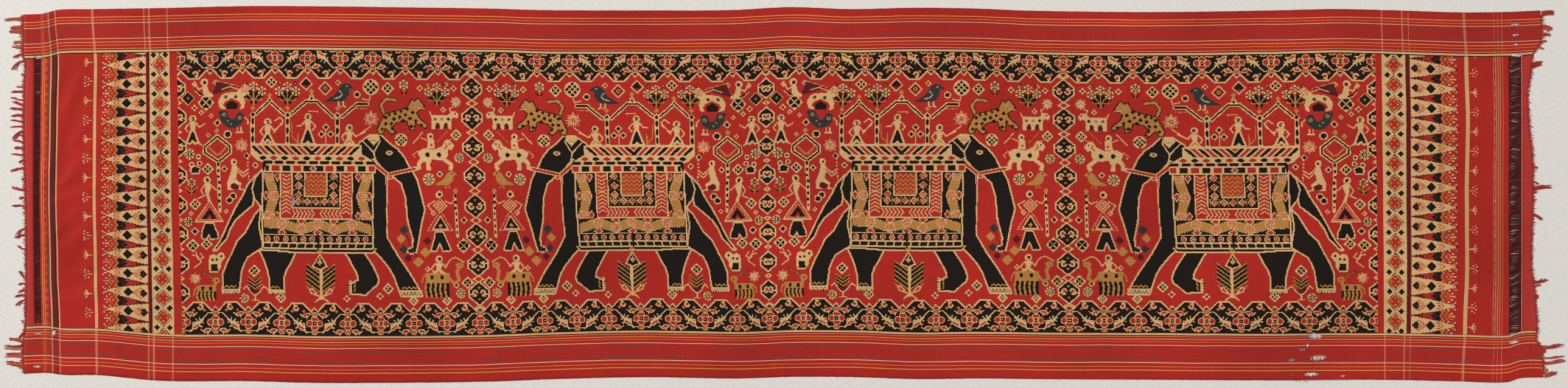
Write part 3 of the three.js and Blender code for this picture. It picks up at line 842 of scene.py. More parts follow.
def saddle_top(chart):
    """The top of the saddle: slanting stripes, turned over at the middle, then lozenges."""
    chart.block(73, 96, 169, 170, "black")
    chart.shape([(63.4, 80), (156, 80), (164, 88), (171, 96), (171, 104), (73, 104), (76, 96), (69, 93),
                 (63.4, 88)], "black")
    chart.block(63.8, 80, 159, 88.6)
    for number in range(10):
        name = "red" if number % 2 else "black"
        for side in (-1, 1):
            half = chart.placed(116, 0, side, reach=200)
            x = (number + 0.5) * 5.65
            if x + 3.8 < 47 - side * 5.6:
                half.shape([(x + 2, 81.2), (x + 5.6, 81.2), (x - 2, 88.4), (x - 5.6, 88.4)], name)
    chart.shape([(113, 81.2), (119, 81.2), (116, 84.2)], "red")
    chart.thread([(63.6, 80.2), (157, 80.2)], 1.3)
    chart.thread([(63.6, 80.2), (63.6, 88), (69, 93.4), (76, 96)], 1.2)
    chart.thread([(63.6, 88.9), (161, 88.9)], 0.95)
    chart.shape([(63.8, 89), (161, 89), (168, 93), (171, 98), (171, 104), (74, 104), (76, 97),
                 (68.6, 92.6)])
    for number in range(-4, 6):
        x = 111.3 + 9.5 * number
        chart.disc(x, 91.7, 1.5, "red" if number % 2 else "black", 2.0)
        x = 117 + 9.85 * number
        chart.block(x - 3.7, 94.1, x + 3.7, 96.6, "black")
        chart.diamond(x + 4.9, 95.4, 0.8, "rust")
    chart.block(108.2, 98.1, 125.8, 102.9, "black")
    for side, last in ((-1, 4), (1, 5)):
        for number in range(last):
            x = 117 + side * (13.9 + 9.3 * number)
            name = "black" if number % 2 else "red"
            chart.block(max(x - 3.4, 75.4), 98.1, min(x + 3.4, 170), 102.9, name)
    chart.diamonds(117, 100.5, (3.2, "cream"), (2.1, "red"))
    chart.block(72, 103, 171, 104.3)
    chart.block(72.4, 103, 73.8, 169)
    chart.block(168, 103, 169.4, 169)


def saddle_borders(chart):
    """Vines, then chevrons, down both sides of the saddle and along its foot."""
    chart.block(73.8, 104.3, 168, 157, "black")
    vine_strip(chart.placed(74.6, 104.6, reach=60).on_end(), 40, [3, 19.5, 36.5])
    vine_strip(chart.placed(167.2, 104.6, -1, reach=60).on_end(), 40, [3, 19.5, 36.5])
    vine_strip(chart.placed(76, 143.8, reach=95), 90, [14, 31, 45, 59, 75])
    chart.thread([(88.6, 104), (88.6, 143.4), (150.6, 143.4), (150.6, 104)], 1.2)
    # Chevrons
    chart.block(89.3, 104.5, 98, 142.8, "red")
    chart.block(141, 104.5, 150, 142.8, "red")
    chart.block(89.3, 134.5, 150, 142.8, "red")
    for number in range(12):
        y = 105.6 + 3.3 * number
        tip = 2.2 if y < 120 else -2.2
        for x in (93.6, 145.6):
            if y < 141:
                chart.thread([(x - 3.4, y), (x, y + tip), (x + 3.4, y)], 0.95)
    for number in range(14):
        x = 99.2 + 3.3 * number
        tip = 2.4 if x < 121 else -2.4
        if abs(x - 121) > 2:
            chart.thread([(x, 135.6), (x + tip, 138.8), (x, 142)], 0.95)
    chart.thread([(98.6, 104), (98.6, 133.8), (140.3, 133.8), (140.3, 104)], 1.2)


def saddle_middle(chart):
    """The inner black border with red lozenges, then the red middle."""
    chart.block(99.4, 104.4, 139.6, 133, "black")
    for x in (104.2, 134.6):
        for y in (107, 115, 123):
            chart.diamonds(x, y, (3.6, "cream"), (2.6, "red"), (0.9, "cream"))
            chart.thread([(x - 4.2, y + 4), (x, y + 1), (x + 4.2, y + 4)], 0.8, "gold", 2.0)
    for x in (104.2, 111.8, 119.4, 127, 134.6):
        chart.diamonds(x, 128.6, (3.4, "cream"), (2.4, "red"), (0.9, "cream"))
        chart.thread([(x + 3.8, 125.4), (x + 3.8, 131.6)], 0.8, "gold", 2.0)
    chart.thread([(109.6, 104.4), (109.6, 124), (128.6, 124), (128.6, 104.4)], 1.2)
    chart.block(110.4, 104.4, 128, 123.2, "red")
    for number in range(5):
        y = 107.2 + 3.7 * number
        chart.thread([(110.6 + 2.2 * k, y + (1.4 if k % 2 else -1.4)) for k in range(9)], 0.95, "gold")


def saddle_foot(chart):
    """The foot of the saddle: rings, then dashes."""
    chart.block(73.8, 157, 168, 169, "black")
    chart.block(73.8, 156.6, 168, 157.6)
    for number in range(12):
        x = 77.5 + 7.7 * number
        chart.discs(x, 160.7, (2.5, "cream"), (1.8, "black"))
        chart.diamond(x, 160.7, 1.9, "red")
        chart.block(x - 0.5, 160.2, x + 0.5, 161.2)
    chart.block(73.8, 163.4, 168, 169.4)
    for number in range(13):
        x = 74.5 + 7.3 * number
        chart.shape([(x, 164.8), (x + 6.2, 164.8), (x + 5.4, 167.8), (x - 0.8, 167.8)], "black")
    chart.block(120.4, 157, 122, 170, "black")


def saddle_cloth(chart):
    """The elephant's patterned saddle: stripes, lozenges and vines in nested borders."""
    saddle_top(chart)
    saddle_borders(chart)
    saddle_middle(chart)
    saddle_foot(chart)


# The dark mark on a small woven head, and on a wider one
HEAD_MARK = [(-1.2, -1.6), (1.6, -1.2), (1.4, 1.4), (-0.6, 1.6)]
WIDE_HEAD_MARK = [(-1.2, -1.6), (1.8, -1.2), (1.6, 1.6), (-0.6, 1.8)]


def figure(chart, x, y, reach_to=(11, 5), high=22, spread=7, side=1):
    """A small woven figure in the usual abstract form: round head, narrow waist, spread robe."""
    here = chart.placed(x, y, side, reach=30)
    here.edged([(-1.2, 10), (1.2, 10), (spread - 1.2, high - 1.4), (2, high - 0.6), (0, high - 3),
                (-2, high - 0.6), (1.2 - spread, high - 1.4)], 1.7)
    here.threads([[(-spread - 0.8, high + 0.4), (1.6 - spread, high - 0.6)],
                  [(spread + 1.4, high + 0.4), (spread - 1.4, high - 0.6)]], 1.1)
    here.edged([(-2.4, 3.6), (2.8, 3.6), (1.2, 10), (-1.2, 10)], 1.0, "cream")
    here.threads([[(-3.2, 4), (-6.6, 8), (-4.4, 11)], [(3.2, 4), (5.6, 7.4), reach_to]], 1.1)
    here.disc(0, 0, 3.1)
    here.shape(HEAD_MARK, "black")
    here.block(-0.4, -0.4, 0.6, 0.4)


def skirted_figure(chart, x, y):
    """A woven figure in outline: head, ringed body, wide dotted skirt and flared hems."""
    here = chart.placed(x, y, reach=60)
    here.edged([(-3, 32), (3.6, 32), (6, 38), (9.6, 46), (10, 48.4), (3.4, 49), (0.4, 42), (-2.6, 49),
                (-7.6, 48.4), (-5, 40)], 1.1)
    here.thread([(1.4, 14), (-10, 31), (12, 31), (1.4, 14)], 1.0, "cream", 1.7)
    here.edged([(1.4, 18.6), (-5.6, 30), (8.2, 30)], 1.0)
    here.diamonds(1.4, 27, (1.8, "cream"), (0.9, "red"))
    for r, name in ((6.2, "cream"), (5.0, "red"), (3.6, "cream"), (2.4, "red"), (1.1, "cream")):
        here.diamond(1.2, 9.6, r, name)
    here.threads([[(-4, 6), (-9.4, 9), (-6, 14.4)], [(6, 6), (11, 8), (13.6, 4)]], 1.0)
    here.disc(0, 0, 3.1)
    here.shape(HEAD_MARK, "black")


def standing_beast(chart, x, y, long, high, neck):
    """A gold beast of burden: squared body with black patches and fringed legs, from its rump."""
    here = chart.placed(x, y, reach=50)
    here.block(0, 0, long, high * 0.42, "gold")
    here.block(0, high * 0.4, long, high, "black")
    for k in range(5):
        at = long * (k + 0.1) / 4.9
        here.thread([(at, high * 0.4), (at - 0.7, high * 0.7), (at + 0.6, high)], 1.7, "gold")
    for k in range(2):
        here.block(long * (0.2 + 0.42 * k), high * 0.1, long * (0.2 + 0.42 * k) + 2.6, high * 0.1 + 2.8,
                   "black")
    here.thread(neck, 2.6, "gold")
    head_x, head_y = neck[-1]
    here.disc(head_x, head_y, 2.6, "gold", 1.3)
    here.block(head_x - 0.5, head_y - 0.6, head_x + 0.9, head_y + 0.6, "black")
    here.thread([(0, 1), (-2.6, 4), (-3, 8)], 1.2, "gold")


def cat(chart):
    """The gold spotted cat that leaps before the elephant's head."""
    coat = [(179, 53), (188, 51), (198.5, 47.6), (202, 40.4), (204.6, 42), (207.6, 39.2), (211.7, 44),
            (213.4, 46.6), (206.5, 52), (208.4, 56), (216.4, 63), (214.6, 65.8), (205.5, 60.6),
            (204.6, 67.4), (200.6, 66.4), (198, 59), (190, 60.6), (185, 64.6), (189, 68.6), (185.6, 71),
            (179.6, 65.6), (178, 69.6), (174, 71.2), (172.6, 66), (176, 59)]
    chart.thread([(178.5, 53), (175.6, 46), (180, 40.6), (188, 41.4)], 3.6, "black")
    chart.thread([(178.5, 53), (175.6, 46), (180, 40.6), (188, 41.4)], 2.2, "gold")
    chart.edged(coat, 1.0, "gold", "black")
    for x, y in ((179.6, 56.4), (183, 54), (187, 57.6), (188, 53), (192, 56), (193, 51), (197, 54),
                 (198, 49), (201, 57), (203, 52), (180, 62), (185, 61.6), (177, 66.4), (186, 66), (206, 59),
                 (202, 64), (211, 62.6), (195, 59)):
        chart.diamond(x, y, 1.8, "black")
    chart.diamonds(205, 45.4, (1.4, "cream"), (0.7, "black"))
    chart.thread([(208, 48), (212.6, 48.4)], 0.8)


def goat(chart):
    """A small cream goat with a dark belly, in front of the cat."""
    chart.block(223, 60, 235, 65.4, "maroon")
    chart.shape([(219.6, 54), (234, 54), (236.6, 51), (240, 50.4), (243, 53.4), (241.6, 57), (238.4, 55.8),
                 (236.6, 58), (236.8, 66), (234.2, 66), (233.4, 61), (231, 60.4), (229.6, 66), (227, 66),
                 (226.4, 60.6), (223.4, 61), (223, 66), (220, 66), (219.2, 59)])
    for x in (222.6, 228.4, 234):
        chart.diamonds(x, 57.4, (1.5, "black"), (0.5, "cream"))
    chart.thread([(236, 51), (235, 48), (238, 47)], 0.9)
    chart.block(239.4, 52, 240.6, 53.2, "black")
    chart.thread([(219.6, 55), (217.6, 51)], 1.0)


def horse_and_rider(chart):
    """A cream horse and its rider, with a spear and a gold whip."""
    chart.shape([(208, 85.4), (212.6, 82.6), (223, 83.4), (229, 80.2), (231.6, 75.4), (235.5, 75.6),
                 (239.6, 80.2), (236.9, 84), (233.9, 83), (233.9, 88), (232, 91.2), (238.4, 95.6),
                 (237.6, 101.4), (233.7, 100.8), (234.8, 97.2), (229, 92.8), (219.8, 92), (218, 96),
                 (219, 101), (215, 101.4), (215, 95.4), (212.6, 93.6), (210.4, 96.4), (210, 101),
                 (206.4, 101), (207, 95), (209.8, 90.8), (208, 88)])
    for x in (216, 226):
        chart.disc(x, 88, 1.9, "black")
    chart.block(235, 78, 236.4, 79.4, "black")
    chart.thread([(231, 83), (233, 81), (232, 78.6)], 0.9, "red")
    chart.thread([(233.4, 75.4), (239.6, 74)], 0.9, "cream", 2)
    chart.shape([(217, 74.6), (222, 74.6), (222.6, 83), (215.6, 83)])
    chart.diamond(219.6, 79.6, 1.5, "red")
    chart.disc(218.6, 72.2, 2.8)
    chart.disc(219, 72.2, 1.2, "black")
    chart.threads([[(204, 78), (212, 69)], [(216.6, 76), (211, 73.6)]], 0.9)
    chart.thread([(225, 77), (234, 67.6)], 0.9, "gold", 2.2)
    chart.thread([(207.4, 85), (203.6, 88), (205.4, 91)], 1.1, "cream", 2.2)


def crouched_beast(chart):
    """The cream beast with a checked head, below the winged figure."""
    chart.shape([(34.6, 43), (37.6, 38), (41, 36), (51, 35.2), (54, 32), (57.6, 28.6), (61.4, 30.4),
                 (60.2, 36), (56.6, 39.6), (58, 44), (57, 49.4), (53.4, 50), (54.6, 46.4), (52.8, 43.4),
                 (46.4, 40.6), (40.6, 43.4), (38.6, 46.4), (41.4, 50), (36.2, 49.4), (35.2, 46)])
    chart.shape([(42, 50), (41.4, 45.6), (46.4, 42.4), (51.6, 45.6), (51, 50)], "black")
    for x in (41.4, 50):
        chart.diamonds(x, 39.4, (1.9, "black"), (0.6, "gold"))
    chart.dye((np.abs(chart.x - 57.6) < 3) & (np.abs(chart.y - 33) < 2.8)
              & ((np.floor(chart.x) + np.floor(chart.y)) % 3 == 0), "red")


def teal_bird(chart):
    """The teal bird under the crouched beast, its neck and tail curved up like a boat."""
    boat = [(39.4, 54.4), (40.6, 59), (45, 62.6), (50, 62), (53, 59), (53.6, 56.4)]
    chart.thread(boat, 7.2, "teal")
    chart.diamond(36, 52.6, 2.0, "teal")
    for x, y in ((39.6, 54.6), (53.4, 57.4)):
        chart.discs(x, y, (1.7, "gold"), (0.8, "teal"))
    for x, y in ((43, 60), (46, 62.6), (49, 64), (51.6, 61)):
        chart.block(x - 0.6, y - 0.6, x + 0.6, y + 0.6, "gold" if x < 48 else "maroon")
    for x in (51.6, 54.4):
        chart.thread([(x, 65.6), (x, 69.6)], 1.0)
        chart.thread([(x - 1.4, 70), (x + 1.6, 70)], 0.9)
    chart.thread([(57.6, 57), (60.4, 60), (60.4, 63)], 0.9)


def bird(chart, x, y, coat, size=1.0):
    """A perching bird seen from its side, facing right, with a folded wing."""
    here = chart.placed(x, y, reach=20)
    here.x = here.x / size
    here.y = here.y / size
    outline = [(-12, 7), (-5, 3), (-1, -1), (2, -6), (6, -8.5), (10, -7.5), (12.6, -4.6), (9, -4), (8.5, 1),
               (6, 5), (2, 7)]
    here.edged(outline, 0.9, coat, coat)
    here.block(6.6, -6.8, 8.2, -5.4, "gold" if coat != "gold" else "black")
    for leg in (0, 4):
        here.thread([(leg, 7), (leg, 11), (leg + 2, 11.4)], 1.0, coat if coat == "gold" else "cream")
    if coat != "gold":
        here.thread([(1, -2), (3.4, 1), (1, 3.4), (-4, 4.6)], 0.9)
        here.thread([(2.4, -1), (3.6, 1)], 0.9, "red")


def howdah(chart):
    """The canopied seat: three arches on beaded poles, with riders under them."""
    for arch in ([(67, 54.5), (79, 43), (92, 54.5)], [(97, 55), (111, 43), (120, 43), (134, 56)],
                 [(142, 56), (155, 45), (164, 45)]):
        chart.thread(arch, 3.5)
        chart.thread(arch, 1.4, "black")
    chart.thread([(152, 49), (164, 49)], 1.2, "cream", 1.8)
    chart.thread([(160, 40.6), (165.6, 42), (166.6, 38)], 1.0)
    for x, y in ((79.3, 38.2), (115.5, 34.6)):
        chart.diamond(x, y, 2.2, "gold")
        chart.diamonds(x, y + 4.0, (2.4, "cream"), (1.2, "black"))
    chart.shape([(111, 43), (115.5, 37.8), (120, 43)])
    chart.diamond(115.5, 40.6, 1.6, "black")
    for x in (64.6, 94.8, 138):
        chart.diamond(x, 49.2, 2.2, "gold")
        chart.block(x - 1.9, 55, x + 1.9, 80)
        chart.diamond(x, 55, 3.2)
        chart.diamond(x, 54.8, 1.9, "black")
        for y in (60.6, 68.2, 75.8):
            chart.disc(x, y, 3.0, "black", 0.42)
    figure(chart, 77.6, 61, (13, 1), 18, 6)
    chart.thread([(83, 70), (91, 60), (88, 57), (84, 60)], 1.0)
    figure(chart, 112.5, 56.4, (10, 8), 24, 7, -1)
    chart.thread([(121, 52), (112.8, 51.6)], 0.8)
    figure(chart, 148.4, 65.4, (14, 3), 15, 5.4)
    chart.thread([(156, 72), (166, 64.6)], 1.0)
    chart.thread([(98.6, 62), (98.6, 73), (105.4, 79.6)], 0.9, "gold")
    chart.thread([(104, 70), (104, 79)], 1.2, "gold")
    chart.thread([(128, 67), (128, 80)], 1.0)
    for x, y in ((128, 65), (124.5, 71), (132, 71)):
        ring(chart, x, y, 2.4)


def standards(chart):
    """Fans and flags carried on dashed poles behind the elephant."""
    fan = [(34, 73), (45, 82), (45, 87), (35, 95), (23, 87), (23, 82)]
    chart.edged(fan, 3.6, "red")
    chart.thread(fan + fan[:1], 1.4, "black")
    chart.thread([(27, 83), (33, 88.6), (36, 88.6), (41, 83)], 1.5, "gold")
    chart.diamond(33.5, 68.5, 2.4, "gold")
    chart.thread([(34.5, 96), (36.5, 137)], 3.0)
    chart.thread([(34.5, 96), (36.5, 137)], 1.9, "black", 5.2)
    chart.thread([(60, 92), (61, 110)], 1.3, "cream", 3.0)
    chart.diamonds(59.5, 90, (3.2, "cream"), (2.0, "black"))
    chart.thread([(240, 122), (242, 158)], 2.6)
    chart.thread([(240, 122), (242, 158)], 1.5, "black", 5.2)
    chart.diamond(240, 119, 2.6, "gold")


def tree(chart):
    """The flowering tree between the elephant's feet."""
    chart.shape([(111, 181), (118, 185), (123.6, 189), (129, 185), (136, 181), (136, 197), (131, 203),
                 (124, 207), (117, 203), (111, 197)], "black")
    for number in range(6):
        y = 185 + 3.9 * number
        chart.threads([[(123, y + 5), (111.4, y - 3.4)], [(125, y + 5), (135.8, y - 3.4)]], 1.0, "gold")
    chart.block(122.8, 184, 125.2, 212)
    chart.threads([[(124, 209), (119, 214)], [(124, 209), (130, 214)]], 1.3)
    for side, x in ((1, 116.6), (-1, 131)):
        here = chart.placed(x, 205, side, reach=10)
        here.thread([(5.6, 4), (-1.6, 1.4), (-2.6, -1.6), (-0.4, -2.4), (3, 1.6)], 1.1)
        here.thread([(-1, -0.6), (1.4, 1)], 0.9, "red")
    chart.shape([(115.6, 184), (122.6, 172.4), (129.6, 184), (122.6, 187)])
    chart.shape([(117.2, 183.4), (122.6, 174.4), (128, 183.4), (122.6, 185.8)], "black")
    chart.diamonds(122.6, 180.4, (2.4, "cream"), (1.3, "gold"))
    chart.diamond(122.6, 177.2, 0.9)
    chart.thread([(119.4, 172.4), (122.6, 169.4), (125.8, 172.4)], 1.0, "gold")


def cut_flower(chart):
    """A flower on a short gold stalk, over the elephant's brow."""
    blossom(chart, 195.4, 28.4, 3.8)
    chart.thread([(195.4, 31), (195.4, 37)], 0.9, "gold")
    chart.shape([(190.6, 30.6), (194.6, 35.4), (196.2, 35.4), (200.2, 30.6), (197.4, 36), (193.4, 36)],
                "black")


def winged_figure(chart):
    """A small figure with a maroon wing, above the tail."""
    chart.shape([(33.4, 25.6), (52, 30.6), (43, 33.6), (35.4, 36), (29, 38), (31.6, 32)], "maroon")
    chart.thread([(33.4, 25.4), (52, 30.4)], 0.9, "cream", 1.8)
    chart.thread([(38, 33), (45, 30.6), (53, 33.4)], 0.9)
    here = chart.placed(22.8, 26.6, reach=24)
    here.shape([(-1, 3), (2.6, 3), (4, 8), (8, 11), (7, 13), (0, 11.6), (-1.6, 9)])
    here.thread([(-1, 4), (-5, 6.4), (-7, 2), (-9, 1.4)], 1.1)
    here.thread([(-7.6, 6.4), (-4.4, 9.6), (-1, 11)], 1.6, "black")
    here.thread([(-8, 7), (-4.8, 10.6), (-1, 12)], 0.8)
    here.disc(0, 0, 3.3)
    here.shape(WIDE_HEAD_MARK, "black")


def crouching_figure(chart):
    """A crouching figure with both arms held out."""
    here = chart.placed(48.2, 95.4, reach=30)
    here.shape([(-2.4, 17), (5.6, 19.4), (5, 23), (-2, 23.4)], "maroon")
    here.shape([(-1.4, 2.6), (2.4, 2.6), (3.2, 8), (1.6, 14.4), (6.6, 18.6), (5.4, 20.4), (0, 17.6),
                (-2.6, 19), (-3, 22.4), (0.4, 23.8), (-5.6, 24), (-6, 18), (-3.4, 11)])
    here.thread([(5.6, 19.6), (4.6, 23.2), (8.6, 23.8)], 1.2)
    here.threads([[(3, 5), (8, 9.6), (12.4, 6)], [(3, 8), (8, 12.6), (12.4, 9)]], 1.0)
    here.disc(0, 0, 2.9)
    here.disc(0.3, 0, 1.1, "black")


def outlined_figure(chart):
    """A woven figure in outline, with a dotted triangle for its skirt."""
    here = chart.placed(25, 110.4, reach=54)
    here.shape([(-2.4, 2.6), (2.8, 2.6), (3.4, 7), (1.6, 12), (3.6, 18), (0.8, 18), (-1.4, 11)])
    here.threads([[(3, 4), (7.4, 8.6), (11.6, 9.6)], [(-2, 4), (-5.4, 9), (-2.4, 13.4), (-8, 16)]], 1.0)
    here.disc(0, 0, 3.2)
    here.shape(WIDE_HEAD_MARK, "black")
    here.thread([(2.4, 18), (-10, 35.6), (14, 35.6), (2.4, 18)], 1.0)
    here.thread([(2.4, 22), (-6.6, 34), (11, 34), (2.4, 22)], 0.9, "cream", 1.8)
    here.shape([(2.4, 24), (-4, 33.4), (8.4, 33.4)], "black")
    here.shape([(2.4, 29.6), (0, 33.4), (4.6, 33.4)], "red")
    here.edged([(-1.6, 37), (6, 37), (7, 41), (9.4, 46), (9.8, 50.4), (3, 51), (1.6, 47), (-0.6, 51),
                (-5, 50), (-4, 43)], 1.1)


def pot_of_flowers(chart):
    """Beads, a small pot and a flower on a gold stalk, at the panel's edge."""
    for x, y in ((17.6, 90.4), (11.6, 97), (18.4, 96)):
        chart.discs(x, y, (2.3, "cream"), (1.1, "black"))
    chart.edged([(11, 100), (15, 98), (19, 100), (18, 104.6), (11.4, 104.6)], 0.9)
    blossom(chart, 11.4, 112.4, 3.4)
    chart.shape([(6, 116), (11.4, 118.6), (17, 116), (14, 121.4), (9, 121.4)], "black")
    chart.threads([[(11.4, 114), (11.4, 122)], [(6.4, 116.4), (11.4, 120.6), (17, 116.2)]], 0.9, "gold")


def deer(chart):
    """A cream deer with branched antlers."""
    chart.edged([(27, 176), (30, 174.4), (33, 176), (36, 172.8), (39, 173.6), (40.4, 177), (37, 181),
                 (36.6, 185.4), (34, 189.6), (27.4, 189.6), (27, 184)], 0.8, "cream")
    chart.shape([(28.4, 183), (33.6, 183), (34.6, 188.4), (28.4, 188.4)], "black")
    for x, y in ((29.4, 179), (33.4, 178.6), (37, 176)):
        chart.diamond(x, y, 1.3, "black")
    chart.threads([[(14, 185.6), (20, 181), (17, 176), (12.6, 174.6)],
                   [(18, 179), (22, 176.6), (19, 173.4)], [(17, 178), (15, 171.6)]], 0.9)


def vase(chart):
    """A vase of flowers between the hind legs."""
    chart.shape([(60.6, 193), (66, 196.6), (72, 193), (70.6, 201.6), (67, 205), (63.4, 205), (61.4, 201.6)],
                "black")
    for y in (196, 199, 202):
        chart.threads([[(66.6, y + 2), (60.8, y - 2.2)], [(66.6, y + 2), (72.4, y - 2.2)]], 0.9, "gold")
    chart.shape([(61.6, 205), (71.6, 205), (69.4, 209.4), (64.6, 209.4)], "maroon")
    chart.thread([(57, 204), (59.6, 201.4), (63, 207), (66.6, 209.6), (70.4, 207), (74.4, 201.4),
                  (77.6, 204)], 1.0)
    chart.thread([(66.8, 209), (66.8, 213.6)], 1.1)
    chart.thread([(63.6, 213.8), (70, 213.8)], 1.0)


# How far the picks lean in the panel that the charts were read from: heights, shifts at its sides
LEAN_AT = (0, 58, 122, 185, 236)
LEAN_LEFT = (-1.1, 0, 0.6, 2.3, 3.4)
LEAN_RIGHT = (-2.4, -1.4, 1.1, 4, 6)


def panel_plan():
    """One panel of the field, 256 by 243 units, with an elephant and its train."""
    chart = Plan(PANEL_FACES * CELLS, FIELD_ROWS * CELLS, "red")
    level = chart.x
    share = level / PANEL_WIDE
    left = np.interp(chart.y, LEAN_AT, LEAN_LEFT)
    chart.x = level + left * (1 - share) + np.interp(chart.y, LEAN_AT, LEAN_RIGHT) * share
    standards(chart)
    for kind, places in FILLERS.items():
        for x, y, size in places:
            MOTIFS[kind](chart, x, y, size)
    elephant(chart)
    saddle_cloth(chart)
    howdah(chart)
    tree(chart)
    for x, y in ((65.4, 37), (94.8, 37), (224, 36.4)):
        bush(chart, x, y)
    cut_flower(chart)
    # Above the tail
    winged_figure(chart)
    crouched_beast(chart)
    teal_bird(chart)
    bird(chart, 139, 36, "teal")
    figure(chart, 12.6, 57.6, (10.4, 4.6), 22, 6.4)
    # Before the elephant's head
    cat(chart)
    goat(chart)
    horse_and_rider(chart)
    bird(chart, 231.5, 108.4, "gold", size=0.72)
    skirted_figure(chart, 226, 122)
    standing_beast(chart, 214.6, 189.6, 20.6, 20.4, [(19, 3), (25, 9), (29, 6), (27, -1), (29.4, -6.6)])
    figure(chart, 225.8, 177.4, (7, 6), 12, 4.4)
    chart.thread([(232, 183), (236, 177.6), (240, 176), (247.4, 180)], 0.9)
    # Behind the hind legs, and between them
    crouching_figure(chart)
    outlined_figure(chart)
    pot_of_flowers(chart)
    deer(chart)
    standing_beast(chart, 16.6, 201, 16.6, 12.6, [(15, 2), (16.4, -4.4)])
    chart.thread([(31, 196), (26, 192), (21.4, 189.6)], 1.6, "black")
    chart.thread([(31, 196), (26, 192), (22, 190)], 0.8, "gold")
    vase(chart)
    chart.x = level
    short_border(chart, -1.8)
    short_border(chart, PANEL_WIDE)
    long_border(chart, 0.4, 28.35, 1, 0)
    long_border(chart, 0.4, 28.35, -1, 238.6)
    return chart.cells


def spear_row(chart, x_base, x_tip, side, first, pitch):
    """The row of long cream spearheads across one end, with spiked red buds between them."""
    reach = abs(x_tip - x_base)
    for number in range(-1, 16):
        here = chart.placed(x_base, first + (number + 0.5) * pitch, side, reach=60)
        here.shape([(2, 0), (22, -5.2), (26, -6.4), (26, 6.4), (22, 5.2)], "maroon")
        here.shape([(4, 0), (19, -2.6), (19, 2.6)], "red")
        here.thread([(1, 0), (10, 0)], 1.1, "maroon")
        here.shape([(16.4, 0), (20.4, -1.8), (23, -4.4), (25.8, -2.8), (24, 0), (25.8, 2.8), (23, 4.4),
                    (20.4, 1.8)], "black")
        here.diamond(21.4, 0, 1.2, "teal")
        here.thread([(23.6, -6), (28, -3), (25.4, 0), (28, 3), (23.6, 6)], 0.9, "gold")
        for dx, dy in ((28.6, -5), (30, 0), (28.6, 5)):
            here.diamonds(dx, dy, (1.5, "gold"), (0.6, "red"))
        here.thread([(31, -3), (33.4, -1), (33.4, 1), (31, 3)], 0.9, "gold")
        here.thread([(33.4, 0), (36, 0)], 0.9)
        for dx, dy in ((33, -5), (33, 5), (35.6, -2.6), (35.6, 2.6), (37.6, 0), (38.4, -5.6), (38.4, 5.6),
                       (36.6, -7), (36.6, 7)):
            here.block(dx - 0.75, dy - 0.65, dx + 0.75, dy + 0.65)
    for number in range(-1, 16):
        here = chart.placed(x_base, first + number * pitch, side, reach=60)
        half = pitch / 2 - 0.2
        spear = [(0, -half), (reach * 0.3, -half * 0.78), (reach * 0.6, -half * 0.52),
                 (reach * 0.82, -half * 0.27), (reach, 0)]
        spear += [(dx, -dy) for dx, dy in reversed(spear[:-1])]
        here.shape(spear)
        here.threads([spear[:5], spear[4:]], 0.8, "maroon", 3.0)
        here.diamonds(4.2, 0, (3.7, "black"), (1.2, "teal"))
        for dx, dy in ((6.6, -3.2), (6.6, 3.2)):
            here.diamonds(dx, dy, (1.9, "rust"), (1.0, "cream"))
        here.diamonds(9.4, 0, (3.6, "rust"), (2.7, "cream"), (1.8, "rust"), (0.9, "cream"))
        here.diamond(17.2, 0, 4.3, "black")
        here.block(13, -0.6, 15, 0.6, "black")
        here.thread([(22.6, -2.4), (25.4, -2.2), (28.6, 0), (25.4, 2.2), (22.6, 2.4)], 0.9, "rust")
        here.diamond(24.6, 0, 1.2, "rust")


def lozenge_panel(chart, x0, x1, first, pitch):
    """The cream strip of red lozenges, each with four gold crosses, and black ones between."""
    middle = (x0 + x1) / 2
    chart.block(x0, 0, x1, FIELD_HIGH)
    for number in range(-1, 16):
        here = chart.placed(middle, first + number * pitch, reach=16)
        here.diamonds(0, 0, (pitch / 2 - 0.2, "black"), (pitch / 2 - 1.1, "cream"),
                      (pitch / 2 - 2.0, "red"), stretch=0.93)
        for dx, dy in ((-3.0, 0), (3.0, 0), (0, -3.2), (0, 3.2)):
            here.diamond(dx, dy, 1.25, "gold")
        for side in (-1, 1):
            here.diamond(side * 5.3, pitch / 2, 2.7, "black")


def end_sprigs(chart, x, side, first, pitch):
    """Small cream sprigs growing from the cream stripe near one end, star and branch by turns."""
    for number in range(16):
        here = chart.placed(x, first + number * pitch, side)
        here.thread([(0, 0), (3, 0)], 0.7)
        if number % 2:
            for dx, dy in ((3, -2.6), (3, 2.6), (6.4, -1.6), (6.4, 1.6), (4.6, 0), (5.6, -3.8), (5.6, 3.8)):
                here.block(dx - 0.6, dy - 0.6, dx + 0.6, dy + 0.6)
        else:
            for dx, dy in ((5.6, -3.6), (5.6, 3.6), (6.6, -1.2), (6.6, 1.2)):
                here.thread([(3, 0), (dx, dy)], 0.85)


def left_end_plan():
    """The left end, from the first pick to the field, in units from the left."""
    chart = Plan(LEFT_FACES * CELLS, FIELD_ROWS * CELLS, "red")
    lozenge_panel(chart, 108.5, 127, 10.4, 16.8)
    chart.block(105.8, 0, 108.5, FIELD_HIGH, "maroon")
    spear_row(chart, 105.6, 68.5, -1, 10.6, 16.5)
    end_sprigs(chart, 57.6, -1, 7.6, 17.05)
    for number in range(33):
        here = chart.placed(19, 3 + number * 7.4)
        here.block(-2.2, -0.8, 0.4, 0.8, "rust")
        here.block(-1.4, -2.2, -0.4, 2.2, "rust")
    return chart.cells


